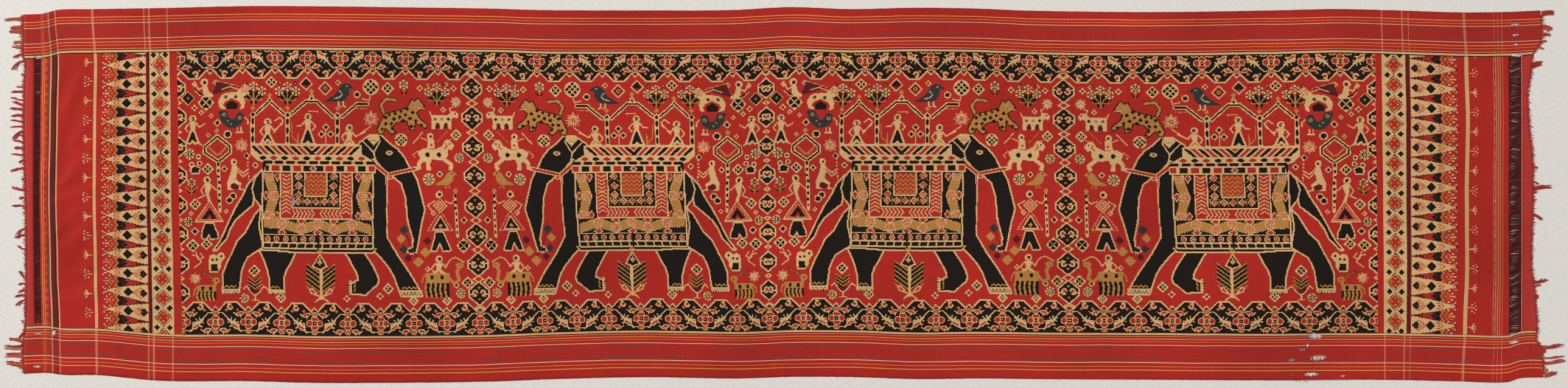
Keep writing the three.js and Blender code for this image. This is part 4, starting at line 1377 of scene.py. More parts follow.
def right_end_plan():
    """The right end, from the field to the last pick, in units from the field's edge."""
    chart = Plan(RIGHT_FACES * CELLS, FIELD_ROWS * CELLS, "red")
    lozenge_panel(chart, 5.4, 25.4, 8.9, 17.2)
    chart.block(25.4, 0, 29, FIELD_HIGH, "maroon")
    spear_row(chart, 29.4, 69.6, 1, 11.3, 17.26)
    end_sprigs(chart, 79.4, 1, -3.0, 17.1)
    for number in range(48):
        here = chart.placed(102.6, 2 + number * 5.1, 1 if number % 2 else -1)
        here.block(-1.4, -1.2, 0.2, 0.4, "maroon")
        here.block(0.2, 0.6, 1.2, 1.4, "gold")
    return chart.cells


def whole_plan():
    """Every dyed cell of the cloth, row by row from the top selvedge."""
    plan = np.full((ROWS * CELLS, COLUMNS * CELLS), DYE_NUMBER["red"], dtype=np.int64)
    top = TOP_ROWS * CELLS
    field = slice(top, top + FIELD_ROWS * CELLS)
    panel = panel_plan()
    for number in range(PANELS):
        start = (LEFT_FACES + number * PANEL_FACES) * CELLS
        plan[field, start:start + PANEL_FACES * CELLS] = panel[:, ::-1] if number % 2 else panel
    plan[field, :LEFT_FACES * CELLS] = left_end_plan()
    plan[field, (COLUMNS - RIGHT_FACES) * CELLS:] = right_end_plan()
    return plan


def linear(hex_colour):
    """An sRGB hex colour as the linear colour that shader sockets take."""
    parts = [(hex_colour >> shift & 255) / 255 for shift in (16, 8, 0)]
    return tuple(c / 12.92 if c <= 0.04045 else ((c + 0.055) / 1.055) ** 2.4 for c in parts) + (1,)


def mesh_object(name, points, faces, material):
    """A mesh piece from points in millimetres and faces of three or four corners."""
    mesh = bpy.data.meshes.new(name)
    mesh.from_pydata(points * MM, [], faces)
    mesh.materials.append(material)
    mesh.shade_smooth()
    piece = bpy.data.objects.new(name, mesh)
    bpy.context.scene.collection.objects.link(piece)
    return piece


def in_hole(x, y, hole, grow=0.0):
    """Whether points lie in a worn hole, which is a leaning, rounded slit."""
    middle_x, middle_y, long, wide, lean = hole
    along = np.abs(x - middle_x) / (long / 2 + grow)
    across = np.abs(y - middle_y - lean * (x - middle_x) / long) / (wide / 2 + grow)
    return along**2.2 + across**2.2 < 1


# Round the worn holes each face of the sheet is cut into four by four quarter faces
QUARTERS = 4
# More than the cloth is deep in quarter faces, so that two places fit in one number
KEY_STEP = 4096
# How far the turned edge hangs below the face, and the least height of its foot
HEM_DEPTH = 0.95
HEM_FOOT = 0.2
# The bake layout: millimetres to its unit, margins added to x and y, and where its two rows start
BAKE_SPAN = 2345
LEFT_MARGIN = 2325
RIGHT_MARGIN = 12
SIDE_MARGIN = 580
UPPER_ROW = 0.502
LOWER_ROW = 0.002


def cloth_faces():
    """Corners of every face in quarter faces of the plan, finer ones round the worn holes."""
    i, j = [grid.ravel() for grid in np.meshgrid(np.arange(COLUMNS), np.arange(ROWS))]
    kept = np.ones(len(i), dtype=bool)
    for band in OPEN_WARPS:
        inside = (i >= band["first"]) & (i < band["last"])
        kept &= ~(inside & (j >= band["top"]) & (j < band["bottom"]))
    i, j = i[kept], j[kept]
    middle = place(i + 0.5, j + 0.5)
    worn = np.zeros(len(i), dtype=bool)
    for hole in HOLES:
        worn |= in_hole(middle[:, 0], middle[:, 1], hole, grow=9)
    whole = np.stack([QUARTERS * i[~worn], QUARTERS * j[~worn]], axis=1)
    quarters = np.arange(QUARTERS)
    step, a, b = np.meshgrid(np.flatnonzero(worn), quarters, quarters, indexing="ij")
    small_i = QUARTERS * i[step.ravel()] + a.ravel()
    small_j = QUARTERS * j[step.ravel()] + b.ravel()
    small = np.stack([small_i, small_j], axis=1)
    spot = place((small_i + 0.5) / QUARTERS, (small_j + 0.5) / QUARTERS)
    fray = rng.uniform(-1.4, 1.0, len(small))
    open_here = np.zeros(len(small), dtype=bool)
    for hole in HOLES:
        open_here |= in_hole(spot[:, 0], spot[:, 1] + fray, hole, grow=0.4)
    small = small[~open_here]
    corner = np.concatenate([whole, small])
    size = np.concatenate([np.full(len(whole), QUARTERS), np.full(len(small), 1)])
    around = np.array([(0, 0), (0, 1), (1, 1), (1, 0)])
    return corner[:, None, :] + around[None] * size[:, None, None]


def weave_cloth(plan, material):
    """The cloth's sheet, with its dyed cells packed eight to a number on each face."""
    quads = cloth_faces()
    keys = quads[..., 0] * KEY_STEP + quads[..., 1]
    unique, number = np.unique(keys, return_inverse=True)
    number = number.reshape(keys.shape)
    points = place(unique // KEY_STEP / QUARTERS, unique % KEY_STEP / QUARTERS)
    # An edge that only one face uses lies on the rim, round the cloth or round a hole
    edges = np.stack([number, np.roll(number, -1, axis=1)], axis=2).reshape(-1, 2)
    low = np.sort(edges, axis=1)
    tag = low[:, 0].astype(np.int64) * len(unique) + low[:, 1]
    _, first, count = np.unique(tag, return_index=True, return_counts=True)
    rim = first[count == 1]
    rim_ends = edges[rim]
    ragged = np.zeros(len(points), dtype=bool)
    ragged[np.unique(rim_ends)] = True
    points[ragged, :2] += rng.uniform(-0.35, 0.35, (ragged.sum(), 2))
    hem_points, hem_number = np.unique(rim_ends, return_inverse=True)
    hem_number = hem_number.reshape(rim_ends.shape) + len(points)
    hem = points[hem_points].copy()
    hem[:, 2] = np.maximum(hem[:, 2] - HEM_DEPTH, HEM_FOOT)
    hem_faces = np.stack([rim_ends[:, 1], rim_ends[:, 0], hem_number[:, 0], hem_number[:, 1]], axis=1)
    faces = np.concatenate([number, hem_faces])
    piece = mesh_object("silk_cloth", np.concatenate([points, hem]), faces.tolist(), material)
    owner = np.concatenate([np.arange(len(number)), rim // 4])
    middle = quads.mean(axis=1)
    cell_i = (middle[:, 0] // QUARTERS).astype(int)
    cell_j = (middle[:, 1] // QUARTERS).astype(int)
    dyes = plan.reshape(ROWS, CELLS, COLUMNS, CELLS)
    power = PACK_BASE ** np.arange(2 * CELLS).reshape(2, CELLS)
    for name, rows in (("knots_low", slice(0, CELLS // 2)), ("knots_high", slice(CELLS // 2, CELLS))):
        packed = (dyes[:, rows] * power[None, :, None, :]).sum(axis=(1, 3))
        knots = piece.data.attributes.new(name, "FLOAT", "FACE")
        knots.data.foreach_set("value", packed[cell_j, cell_i][owner].astype(np.float32))
    # A face's corners are drawn in a little, so that each stays within its own cells of the plan
    inset = middle[:, None, :] / QUARTERS + (quads - middle[:, None, :]) / QUARTERS * 0.998
    hem_uv = np.stack([inset[rim // 4, (rim + 1) % 4], inset[rim // 4, rim % 4]], axis=1)
    hem_uv = hem_uv[:, [0, 1, 1, 0]]
    plan_uv = np.concatenate([inset, hem_uv]).reshape(-1, 2)
    piece.data.uv_layers.new(name="plan").data.foreach_set("uv", plan_uv.ravel())
    # Bake layout: the left half of the cloth in the upper row, the right half in the lower one
    corner_points = np.concatenate([points, hem])[faces]
    left_half = (cell_i[owner] < COLUMNS // 2)[:, None]
    bake_u = (corner_points[..., 0] + np.where(left_half, LEFT_MARGIN, RIGHT_MARGIN)) / BAKE_SPAN
    row_start = np.where(left_half, UPPER_ROW, LOWER_ROW)
    bake_v = (corner_points[..., 1] + SIDE_MARGIN) / BAKE_SPAN + row_start
    bake_uv = np.stack([bake_u, bake_v], axis=-1).reshape(-1, 2)
    piece.data.uv_layers.new(name="OFBake").data.foreach_set("uv", bake_uv.ravel())
    return piece


# How far a strand's top edge stands up, in halves of its thickness
STRAND_HEIGHT = 1.7


def strands(name, paths, thick, tones, material):
    """Loose threads as three-sided tubes, flat side down, along paths of equal steps."""
    count, steps = paths.shape[:2]
    heading = np.gradient(paths, axis=1)
    side = np.stack([-heading[..., 1], heading[..., 0], np.zeros((count, steps))], axis=-1)
    side /= np.maximum(np.linalg.norm(side, axis=-1, keepdims=True), 1e-6)
    half = thick[:, None, None] / 2
    lift = np.zeros_like(side)
    lift[..., 2] = 1
    ring = np.stack([paths + side * half, paths - side * half, paths + lift * STRAND_HEIGHT * half], axis=2)
    points = ring.reshape(-1, 3)
    strand, step, corner = np.meshgrid(np.arange(count), np.arange(steps - 1), np.arange(3), indexing="ij")
    here = (strand * steps + step) * 3 + corner
    beside = (strand * steps + step) * 3 + (corner + 1) % 3
    faces = np.stack([here, beside, beside + 3, here + 3], axis=-1).reshape(-1, 4)
    piece = mesh_object(name, points, faces.tolist(), material)
    tone = piece.data.attributes.new("tone", "FLOAT", "FACE")
    tone.data.foreach_set("value", tones[strand.ravel()].astype(np.float32))
    return piece


def add(tree, kind, links=(), **settings):
    """One shader node with its settings, and its sockets set to values or linked to outputs.

    A node given for a socket stands for its first output.
    """
    made = tree.nodes.new("ShaderNode" + kind)
    for name, value in settings.items():
        setattr(made, name, value)
    for socket, value in links:
        if isinstance(value, bpy.types.Node):
            value = value.outputs[0]
        if isinstance(value, bpy.types.NodeSocket):
            tree.links.new(value, made.inputs[socket])
        else:
            made.inputs[socket].default_value = value
    return made


def new_material(name):
    """An empty node material, with its tree."""
    material = bpy.data.materials.new(name)
    material.use_nodes = True
    material.node_tree.nodes.clear()
    return material, material.node_tree


def set_stops(ramp, stops, interpolation="CONSTANT"):
    """Puts (place from 0 to 1, linear colour) stops on a colour ramp."""
    ramp.interpolation = interpolation
    while len(ramp.elements) > 1:
        ramp.elements.remove(ramp.elements[-1])
    ramp.elements[0].position = stops[0][0]
    ramp.elements[0].color = stops[0][1]
    for where, colour in stops[1:]:
        ramp.elements.new(where).color = colour


# Warp stripes of the borders: first and last millimetre in from the selvedge, colour
TOP_STRIPES = [
    (22.6, 25.2, YELLOW),
    (31.3, 33.5, ORANGE),
    (40.4, 42.2, PALE_PINK),
    (50.0, 52.6, GREY_BROWN),
    (78.1, 80.7, GREY_BROWN),
    (88.1, 90.7, PALE_PINK),
    (99.0, 101.4, YELLOW),
    (108.6, 110.4, ORANGE),
    (119.4, 121.2, DULL_GOLD),
    (122.2, 124.6, DYES["maroon"]),
    (125.2, 131.6, DYES["cream"]),
    (131.6, 135.0, DYES["black"]),
]
BOTTOM_STRIPES = [
    (27.3, 29.7, YELLOW),
    (38.0, 40.6, ORANGE),
    (50.0, 52.6, PALE_PINK),
    (61.4, 64.2, GREY_BROWN),
    (90.6, 92.8, GREY_BROWN),
    (102.8, 105.2, PALE_PINK),
    (114.0, 115.8, ORANGE),
    (121.6, 123.6, YELLOW),
    (130.4, 131.8, DULL_GOLD),
    (132.6, 134.9, DYES["maroon"]),
    (135.4, 141.2, DYES["cream"]),
    (141.2, 143.0, DYES["black"]),
]

# Weft stripes of the ends, in columns of the plan: first, last, colour
LEFT_STRIPES = [
    (0.0, 2.4, FADED_RED),
    (5.4, 5.75, ORANGE),
    (6.05, 6.35, ORANGE),
    (7.35, 7.75, GREY_BROWN),
    (8.0, 8.35, DYES["cream"]),
    (8.45, 8.75, DARK_BROWN),
    (8.75, 9.7, BROWN),
    (9.7, 10.1, DARK_BROWN),
    (10.25, 10.65, DYES["cream"]),
    (22.1, 23.05, DYES["cream"]),
]
RIGHT_STRIPES = [
    (28.25, 29.4, DYES["cream"]),
    (37.7, 37.95, SALMON),
    (38.25, 38.45, TAN),
    (38.45, 39.2, BRICK),
    (39.2, 39.4, TAN),
    (39.85, 40.05, TAN),
    (40.55, 40.85, ORANGE),
    (46.8, 47.1, ROSE),
    (47.6, 54.0, FADED_RED),
]
LEFT_BORDER_STRIPES = [
    (5.4, 5.75, ORANGE),
    (6.05, 6.35, ORANGE),
    (7.35, 7.75, GREY_BROWN),
    (8.0, 8.35, WOVEN_CREAM),
    (8.45, 10.1, BROWN),
    (10.25, 10.65, WOVEN_CREAM),
    (22.1, 22.9, WOVEN_CREAM),
    (39.2, 39.6, WOVEN_CREAM),
    (40.8, 41.3, WOVEN_CREAM),
    (46.7, 47.2, WOVEN_CREAM),
]
RIGHT_BORDER_STRIPES = [
    (2.0, 2.4, WOVEN_CREAM),
    (8.6, 9.0, WOVEN_CREAM),
    (10.6, 10.9, WOVEN_CREAM),
    (28.3, 29.2, WOVEN_CREAM),
    (38.0, 38.2, TAN),
    (39.4, 39.6, TAN),
    (40.55, 40.85, WOVEN_CREAM),
]


# Stripes closer together than this share of a band have no ground between them
TOUCHING = 1e-6


def stripe_ramp(tree, at, first, last, lines, width, ground):
    """A ramp of coloured lines on a ground, laid out between two places of the plan."""
    along = add(tree, "MapRange", [("Value", at), ("From Min", first), ("From Max", last)])
    ramp = add(tree, "ValToRGB", [("Fac", along)])
    stops = [(0.0, ground)]
    for low, high, colour in lines:
        if stops[-1][0] >= low / width - TOUCHING:
            stops[-1] = (stops[-1][0], linear(colour))
        else:
            stops.append((low / width, linear(colour)))
        stops.append((high / width, ground))
    set_stops(ramp.color_ramp, stops)
    return ramp


# Bunches of threads across one face of the sheet, each 1.2 mm wide, that slip along themselves
BUNCHES = 8
# The whole range of that slip, in faces: of the warp threads, and of the picks
WARP_SLIP = 0.2
PICK_SLIP = 0.14


def tied_dyes(tree, u, v):
    """The dye of the cell at each point: threads slip, so its edges come out feathered."""
    cell = []
    for along, bunches_u, bunches_v, reach in ((u, 1, BUNCHES, WARP_SLIP), (v, BUNCHES, 1, PICK_SLIP)):
        spot = []
        for way, bunches in ((u, bunches_u), (v, bunches_v)):
            part = add(tree, "Math", [(0, way), (1, bunches)], operation="MULTIPLY")
            spot.append(add(tree, "Math", [(0, part)], operation="FLOOR"))
        bunch = add(tree, "CombineXYZ", [("X", spot[0]), ("Y", spot[1])])
        slip = add(tree, "TexWhiteNoise", [("Vector", bunch)], noise_dimensions="2D")
        inside = add(tree, "Math", [(0, along)], operation="FRACT")
        centred = add(tree, "Math", [(0, slip.outputs["Value"]), (1, 0.5)], operation="SUBTRACT")
        slipped = add(tree, "Math", [(0, centred), (1, reach), (2, inside)], operation="MULTIPLY_ADD")
        held = add(tree, "Clamp", [("Value", slipped), ("Min", 0.001), ("Max", 0.999)])
        scaled = add(tree, "Math", [(0, held), (1, CELLS)], operation="MULTIPLY")
        cell.append(add(tree, "Math", [(0, scaled)], operation="FLOOR"))
    across, down = cell
    # The upper two rows of a face's cells are packed in one number, the lower two in the other
    upper = add(tree, "Math", [(0, down), (1, CELLS / 2 - 0.5)], operation="LESS_THAN")
    row = add(tree, "Math", [(0, down), (1, CELLS / 2)], operation="MODULO")
    digit = add(tree, "Math", [(0, row), (1, CELLS), (2, across)], operation="MULTIPLY_ADD")
    power = add(tree, "Math", [(0, PACK_BASE), (1, digit)], operation="POWER")
    low = add(tree, "Attribute", attribute_name="knots_low")
    high = add(tree, "Attribute", attribute_name="knots_high")
    knots = add(tree, "Mix", [("Factor", upper), (2, high.outputs["Fac"]), (3, low.outputs["Fac"])],
                data_type="FLOAT")
    shifted = add(tree, "Math", [(0, knots), (1, power)], operation="DIVIDE")
    whole = add(tree, "Math", [(0, shifted)], operation="FLOOR")
    number = add(tree, "Math", [(0, whole), (1, PACK_BASE)], operation="MODULO")
    share = add(tree, "Math", [(0, number), (1, 1 / len(DYES)), (2, -0.5 / len(DYES))],
                operation="MULTIPLY_ADD")
    dyed = add(tree, "ValToRGB", [("Fac", share)])
    set_stops(dyed.color_ramp, [(n / len(DYES), linear(c)) for n, c in enumerate(DYES.values())])
    return dyed


def border_stripes(tree, v, at, colour):
    """Lays the warp stripes along both selvedges, with a slow waver of a millimetre or so."""
    waver = add(tree, "TexNoise", [("Vector", at), ("Scale", 5.0), ("Detail", 2.0)])
    waver_rows = add(tree, "Math", [(0, waver.outputs["Fac"]), (1, 0.5), (2, -0.25)],
                     operation="MULTIPLY_ADD")
    v_waver = add(tree, "Math", [(0, v), (1, waver_rows)], operation="ADD")
    for lines, width, first_row, last_row, beyond in (
        (TOP_STRIPES, TOP_BORDER, 0, TOP_ROWS, "LESS_THAN"),
        (BOTTOM_STRIPES, BOTTOM_BORDER, ROWS, ROWS - BOTTOM_ROWS, "GREATER_THAN"),
    ):
        stripe = stripe_ramp(tree, v_waver, first_row, last_row, lines, width, linear(DYES["red"]))
        here = add(tree, "Math", [(0, v), (1, last_row)], operation=beyond)
        mixed = add(tree, "Mix", [("Factor", here), (6, colour), (7, stripe)], data_type="RGBA")
        colour = mixed.outputs[2]
    return colour


# How strongly the ends' weft stripes show, and how strongly where they cross the borders
END_STRENGTH = 0.92
CROSSING_STRENGTH = 0.38


def end_stripes(tree, u, v, colour):
    """Lays the weft stripes of both ends, fainter where they cross the borders."""
    above = add(tree, "Math", [(0, v), (1, TOP_ROWS)], operation="LESS_THAN")
    below = add(tree, "Math", [(0, v), (1, ROWS - BOTTOM_ROWS)], operation="GREATER_THAN")
    in_border = add(tree, "Math", [(0, above), (1, below)], operation="ADD")
    clear = (0, 0, 0, 0)
    for lines, start, width, strength, inside in (
        (LEFT_STRIPES, 0, LEFT_FACES, END_STRENGTH, 0),
        (RIGHT_STRIPES, COLUMNS - RIGHT_FACES, RIGHT_FACES, END_STRENGTH, 0),
        (LEFT_BORDER_STRIPES, 0, LEFT_FACES, CROSSING_STRENGTH, 1),
        (RIGHT_BORDER_STRIPES, COLUMNS - RIGHT_FACES, RIGHT_FACES, CROSSING_STRENGTH, 1),
    ):
        stripe = stripe_ramp(tree, u, start, start + width, lines, width, clear)
        where = add(tree, "Math", [(0, in_border), (1, inside), (2, 0.5)], operation="COMPARE")
        shown = add(tree, "Math", [(0, where), (1, stripe.outputs["Alpha"])], operation="MULTIPLY")
        weight = add(tree, "Math", [(0, shown), (1, strength)], operation="MULTIPLY")
        mixed = add(tree, "Mix", [("Factor", weight), (6, colour), (7, stripe)], data_type="RGBA")
        colour = mixed.outputs[2]
    return colour


def uneven_dye(tree, at, colour):
    """Threads of uneven depth of dye: fine streaks along the warp and across it, and slow fading."""
    gains = []
    for name, stretch, depth in (("warp_streaks", (14, 620, 1), 0.16), ("weft_streaks", (560, 18, 1), 0.12),
                                 ("slow_fading", (2.2, 2.6, 1), 0.16)):
        mapped = add(tree, "Mapping", [("Vector", at), ("Scale", stretch)], name=name)
        noise = add(tree, "TexNoise", [("Vector", mapped), ("Scale", 1.0), ("Detail", 2.0)])
        gain = add(tree, "MapRange", [("Value", noise.outputs["Fac"]), ("From Min", 0.25),
                                      ("From Max", 0.75), ("To Min", 1 - depth), ("To Max", 1 + depth)])
        gains.append(gain)
    tone = gains[0]
    for gain in gains[1:]:
        tone = add(tree, "Math", [(0, tone), (1, gain)], operation="MULTIPLY")
    return add(tree, "VectorMath", [(0, colour), ("Scale", tone)], operation="SCALE")


# The pitch of the drawn weave, in metres, far coarser than silk, so that it shows at all
THREAD_PITCH = 2.4 * MM
# Bands that a wave texture of scale 1 draws in a metre
WAVE_BANDS = 3.18


def weave_bump(tree, at):
    """Plain weave and fine cockles, as bump."""
    weave_scale = 1 / THREAD_PITCH / WAVE_BANDS
    threads = [
        add(tree, "TexWave", [("Vector", at), ("Scale", weave_scale), ("Distortion", 2.0),
                              ("Detail", 1.0), ("Detail Scale", 0.2)], bands_direction=axis)
        for axis in ("X", "Y")
    ]
    height = add(tree, "Math", [(k, wave.outputs["Fac"]) for k, wave in enumerate(threads)],
                 operation="MULTIPLY")
    cockle = add(tree, "TexNoise", [("Vector", at), ("Scale", 26.0), ("Detail", 3.0)])
    both = add(tree, "Math", [(0, cockle.outputs["Fac"]), (1, 3.0), (2, height)], operation="MULTIPLY_ADD")
    return add(tree, "Bump", [("Height", both), ("Strength", 0.35), ("Distance", 0.0009)])


def silk_cloth_finish():
    """Plain-woven tie-dyed silk: feathered dye edges, uneven threads and a soft sheen."""
    material, tree = new_material("woven_tie_dyed_silk")
    plan = add(tree, "UVMap", uv_map="plan")
    split = add(tree, "SeparateXYZ", [("Vector", plan.outputs["UV"])])
    u = split.outputs["X"]
    v = split.outputs["Y"]
    at = add(tree, "TexCoord").outputs["Object"]
    colour = border_stripes(tree, v, at, tied_dyes(tree, u, v))
    colour = end_stripes(tree, u, v, colour)
    colour = uneven_dye(tree, at, colour)
    silk = add(tree, "BsdfPrincipled", [("Base Color", colour), ("Roughness", 0.62), ("IOR", 1.5),
                                        ("Sheen Weight", 0.03), ("Sheen Roughness", 0.5),
                                        ("Specular IOR Level", 0.1), ("Normal", weave_bump(tree, at))])
    add(tree, "OutputMaterial", [("Surface", silk)])
    return material


def yarn_finish(name, dark, light):
    """Loose dyed silk yarn: each strand has its own depth of red, duller than the cloth; where the dark end
    is near black, it is painted shade.
    """
    material, tree = new_material(name)
    tone = add(tree, "Attribute", attribute_name="tone")
    colour = add(tree, "ValToRGB", [("Fac", tone.outputs["Fac"])])
    stops = [(0.0, linear(dark)), (0.6, linear(light)), (0.78, linear(light)), (0.8, linear(YELLOW)),
             (0.9, linear(DYES["cream"])), (1.0, linear(DYES["cream"]))]
    set_stops(colour.color_ramp, stops, "LINEAR")
    yarn = add(tree, "BsdfPrincipled", [("Base Color", colour.outputs["Color"]), ("Roughness", 0.65),
                                        ("IOR", 1.5), ("Sheen Weight", 0.05), ("Specular IOR Level", 0.2)])
    add(tree, "OutputMaterial", [("Surface", yarn)])
    return material


# Strands drawn across one row of the plan in the bands of bare warp
WARPS_IN_A_ROW = 21


def bare_warps(name, band, material):
    """The threads of one band without weft: bunched, wavy and missing in places."""
    rows = band["bottom"] - band["top"]
    count = rows * WARPS_IN_A_ROW
    across = np.linspace(band["top"] + 0.05, band["bottom"] - 0.05, count)
    # Strands are left out at random, and more of them where slow waves across the band are high
    thinned = np.sin(across * 2.1) * 0.5 + np.sin(across * 0.73 + 1) * 0.5
    kept = rng.uniform(0, 1, count) > band["gap"] + 0.12 * thinned
    across = across[kept]
    count = len(across)
    steps = 9
    share = np.linspace(0, 1, steps)
    u = band["first"] - 0.25 + share * (band["last"] - band["first"] + 0.5)
    # The rest draw together in bunches at mid-length, and sway in long curves
    pull = 0.16 * np.sin(across * 2.6)[:, None] * np.sin(np.pi * share)[None]
    v = across[:, None] + pull + rng.uniform(-0.03, 0.03, (count, 1))
    paths = place(np.broadcast_to(u, v.shape).copy(), v)
    bend = np.sin(2 * np.pi * share)[None] * np.sin(across * 0.55 + 0.6)[:, None]
    paths[..., 1] += band["wave"] * bend
    paths[..., 1] += rng.uniform(-0.5, 0.5, (count, 1)) * np.sin(np.pi * share)[None] * band["wave"]
    paths[..., 2] -= 0.9 + 0.3 * np.sin(np.pi * share)[None]
    paths[..., 2] = np.maximum(paths[..., 2], 0.12)
    thick = rng.uniform(0.7, 1.25, count)
    return strands(name, paths, thick, rng.uniform(0, 0.62, count), material)


def heading_start(side, end_table, y):
    """Where the cloth stops and its loose ends start, along the warp."""
    return side * (follow(end_table, 1, y) + 0.3)


# Strands in a lock: so many, and more for each millimetre of its width
FEWEST_STRANDS = 8
STRANDS_A_MM = 1.8
# Locks no wider than this, in mm, have thinner strands
THIN_LOCK = 4
# Strands in one of five are pale, but only in the striped borders, this far from the middle in mm
PALE_SHARE = 0.2
BORDERS_FROM = 440
# The fuzz of short warp ends: how far it goes on both sides of the middle, and its spacing, in mm
FUZZ_REACH = 545
FUZZ_SPACING = 0.9


def lock_strands(side, end_table, lock, share):
    """One loose lock: the path, thickness and tone of each of its strands."""
    y, out, aside, bow, wide, high = lock
    root_x = heading_start(side, end_table, y) + side * 3.5
    count = int(FEWEST_STRANDS + wide * STRANDS_A_MM)
    spread = rng.uniform(-0.5, 0.5, count)
    reach = rng.uniform(0.55, 1.0, count)
    curl = rng.normal(0, 1, count)
    made = []
    for k in range(count):
        long = out * reach[k]
        drift = share**1.5 * spread[k] * wide * 0.6
        x = root_x + side * (long * share - 1.0)
        bent = 4 * bow * share * (1 - share) / 2
        line_y = y + spread[k] * wide * (1 - 0.5 * share) + aside * share + bent + drift * 0.5
        line_y = line_y + 0.9 * curl[k] * np.sin(share * (4 + curl[k]) * 2) * share
        z = 0.3 + rng.uniform(0, high * 0.6) * (1 - share)
        thick = rng.uniform(0.8, 1.5) * (1 if wide > THIN_LOCK else 0.8)
        pale = rng.uniform(0, 1) >= 1 - PALE_SHARE and abs(y) > BORDERS_FROM
        tone = rng.uniform(0.82, 1) if pale else rng.uniform(0.1, 0.7)
        made.append((np.stack([x, line_y, z], axis=-1), thick, tone))
    return made


def warp_fuzz(side, end_table, share):
    """Short warp ends all along the last pick: the path, thickness and tone of each."""
    made = []
    for y in np.arange(-FUZZ_REACH, FUZZ_REACH, FUZZ_SPACING):
        long = rng.uniform(1.5, 6.5) if rng.uniform() < 0.85 else rng.uniform(6, 13)
        root_x = heading_start(side, end_table, y) - side
        x = root_x + side * (4 + long) * share
        sway = rng.normal(0, 1.2) * share**2
        path = np.stack([x, y + sway, np.full(len(share), 0.6) - 0.3 * share], axis=-1)
        made.append((path, rng.uniform(0.7, 1.2), rng.uniform(0.05, 0.65)))
    return made


def frayed_end(name, side, end_table, locks, material):
    """One end's last picks and its loose locks, each a bundle of thin strands."""
    share = np.linspace(0, 1, 11)
    made = []
    for lock in locks:
        made += lock_strands(side, end_table, lock, share)
    made += warp_fuzz(side, end_table, share)
    paths, thick, tones = zip(*made)
    return strands(name, np.array(paths), np.array(thick), np.array(tones), material)


# Broken threads in a hole: so many, and one more for each so many square mm of its length by its width
FEWEST_BROKEN = 4
HOLE_AREA_A_THREAD = 22
# Loose threads off the bottom selvedge, in mm: where each starts, and how far it runs
LOOSE_THREADS = [(1560, -560, -4, -10), (1563, -562, 5, -9), (1583, -560, 6, -12), (1586, -563, 1, -8)]


def worn_threads(material):
    """Broken threads that cross the worn holes, and four that hang off the bottom selvedge."""
    paths = []
    tones = []
    share = np.linspace(0, 1, 7)
    level = np.full(len(share), 0.5)
    for x, y, long, wide, lean in HOLES:
        for _ in range(int(FEWEST_BROKEN + long * wide / HOLE_AREA_A_THREAD)):
            at = rng.uniform(-0.48, 0.48) * long
            # Half the hole's width there, as in an oval, and a root 1 mm inside the cloth
            half = wide / 2 * np.sqrt(max(0.05, 1 - (2 * at / long) ** 2)) + 1
            side = rng.choice([-1, 1])
            reach = rng.uniform(1.5, 0.7 * wide + 2)
            line_y = y + lean * at / long + side * (half - reach * share)
            line_x = x + at + rng.normal(0, 1.5) * share**2
            paths.append(np.stack([line_x, line_y, level], axis=-1))
            tones.append(rng.uniform(0.0, 0.7))
    for x, y, dx, dy in LOOSE_THREADS:
        paths.append(np.stack([x + dx * share, y + dy * share, level], axis=-1))
        tones.append(0.4)
    paths = np.array(paths)
    return strands("worn_threads", paths, rng.uniform(0.5, 0.9, len(paths)), np.array(tones), material)


cloth_silk = silk_cloth_finish()
end_yarn = yarn_finish("frayed_silk_yarn", 0x8C201B, 0xC43C32)
# The bare warp's near-black reds are partly the threads' own dull red and partly painted shade, for the
# shadow among the bare threads
shaded_warp_yarn = yarn_finish("bare_silk_warp_painted_shade", 0x1C0607, 0x6E1A18)

cloth = weave_cloth(whole_plan(), cloth_silk)
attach(cloth, "root")
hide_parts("cloth")

threads = [
    bare_warps("bare_warp_left", OPEN_WARPS[0], shaded_warp_yarn),
    bare_warps("bare_warp_right", OPEN_WARPS[1], shaded_warp_yarn),
    worn_threads(end_yarn),
]
for piece in threads:
    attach(piece, "root")

for name, side, end_table, locks in (
    ("fringe_left", -1, LEFT_END, LEFT_LOCKS),
    ("fringe_right", 1, RIGHT_END, RIGHT_LOCKS),
):
    piece = frayed_end("frayed_" + name, side, end_table, locks, end_yarn)
    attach(piece, "root")
    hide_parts(name)

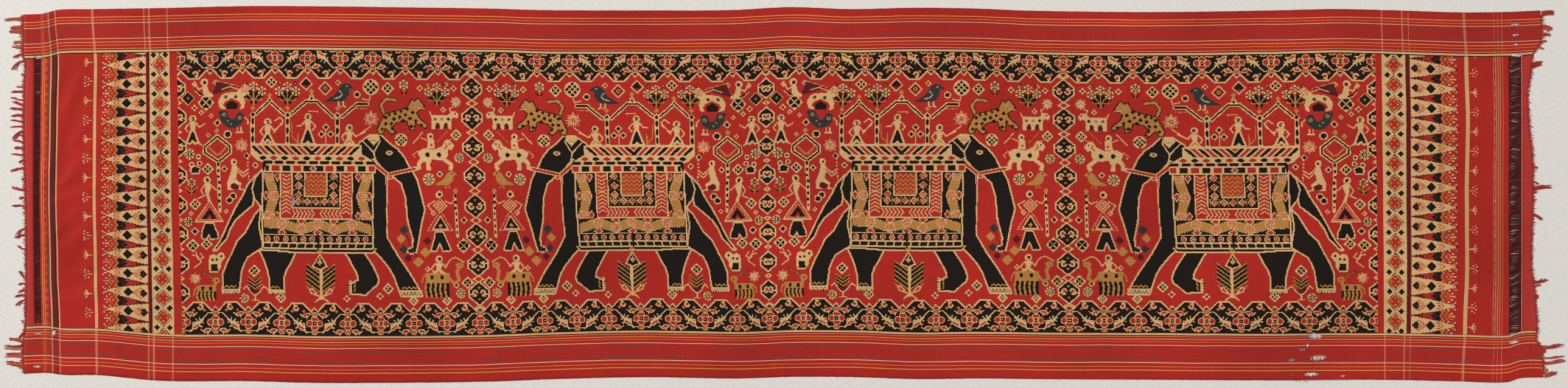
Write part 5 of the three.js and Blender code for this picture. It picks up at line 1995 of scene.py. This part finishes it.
# A plain pale floor
floor_material, floor_tree = new_material("pale_floor")
speckle = add(floor_tree, "TexNoise", [("Scale", 900.0), ("Detail", 2.0)])
pale = add(floor_tree, "ValToRGB", [("Fac", speckle.outputs["Fac"])])
set_stops(pale.color_ramp, [(0.35, linear(0xD3D0CA)), (0.65, linear(0xDAD7D1))], "LINEAR")
matte = add(floor_tree, "BsdfPrincipled", [("Base Color", pale.outputs["Color"]), ("Roughness", 0.85)])
add(floor_tree, "OutputMaterial", [("Surface", matte)])
corners = np.array([(-5000, -3500, 0), (5000, -3500, 0), (5000, 3500, 0), (-5000, 3500, 0)], dtype=float)
floor = mesh_object("floor", corners, [(0, 1, 2, 3)], floor_material)

# Soft studio light: wide panels beyond both selvedges, and two low ones that rake the creases
world = bpy.data.worlds.new("studio")
world.use_nodes = True
world.node_tree.nodes["Background"].inputs["Color"].default_value = (1.0, 0.97, 0.92, 1)
world.node_tree.nodes["Background"].inputs["Strength"].default_value = 0.3
bpy.context.scene.world = world
# Place of each panel in metres, its size each way, where it points and its power in watts
LIGHTS = [
    ("far_panel", (0.3, 3.6, 3.2), (6.5, 1.8), (0, 0, 0), 118),
    ("near_panel", (-0.3, -3.6, 3.2), (6.5, 1.8), (0, 0, 0), 82),
    ("raking", (-8.0, 2.8, 2.6), (1.2, 1.2), (-1.0, 0, 0), 500),
    ("fill", (8.0, -2.2, 2.6), (1.2, 1.2), (1.0, 0, 0), 260),
]
for name, at, size, towards, power in LIGHTS:
    lamp = bpy.data.lights.new(name, "AREA")
    lamp.shape = "RECTANGLE"
    lamp.size, lamp.size_y = size
    lamp.energy = power
    lamp_object = bpy.data.objects.new(name, lamp)
    direction = np.array(towards) - np.array(at)
    lamp_object.rotation_euler = Vector(direction).to_track_quat("-Z", "Y").to_euler()
    lamp_object.location = at
    bpy.context.scene.collection.objects.link(lamp_object)

# The camera looks straight down, with the photo's pixels across its frame
PHOTO_WIDE = 2576
PIXEL = 1.85 * MM
CAMERA_HIGH = 14
bpy.context.scene.view_settings.view_transform = "Standard"
camera = bpy.data.cameras.new("straight_down")
camera.sensor_width = 36
camera.lens = camera.sensor_width * CAMERA_HIGH / (PHOTO_WIDE * PIXEL)
camera.clip_end = 60
camera_object = bpy.data.objects.new("straight_down", camera)
camera_object.location = (0, PIXEL, CAMERA_HIGH)
bpy.context.scene.collection.objects.link(camera_object)
bpy.context.scene.camera = camera_object
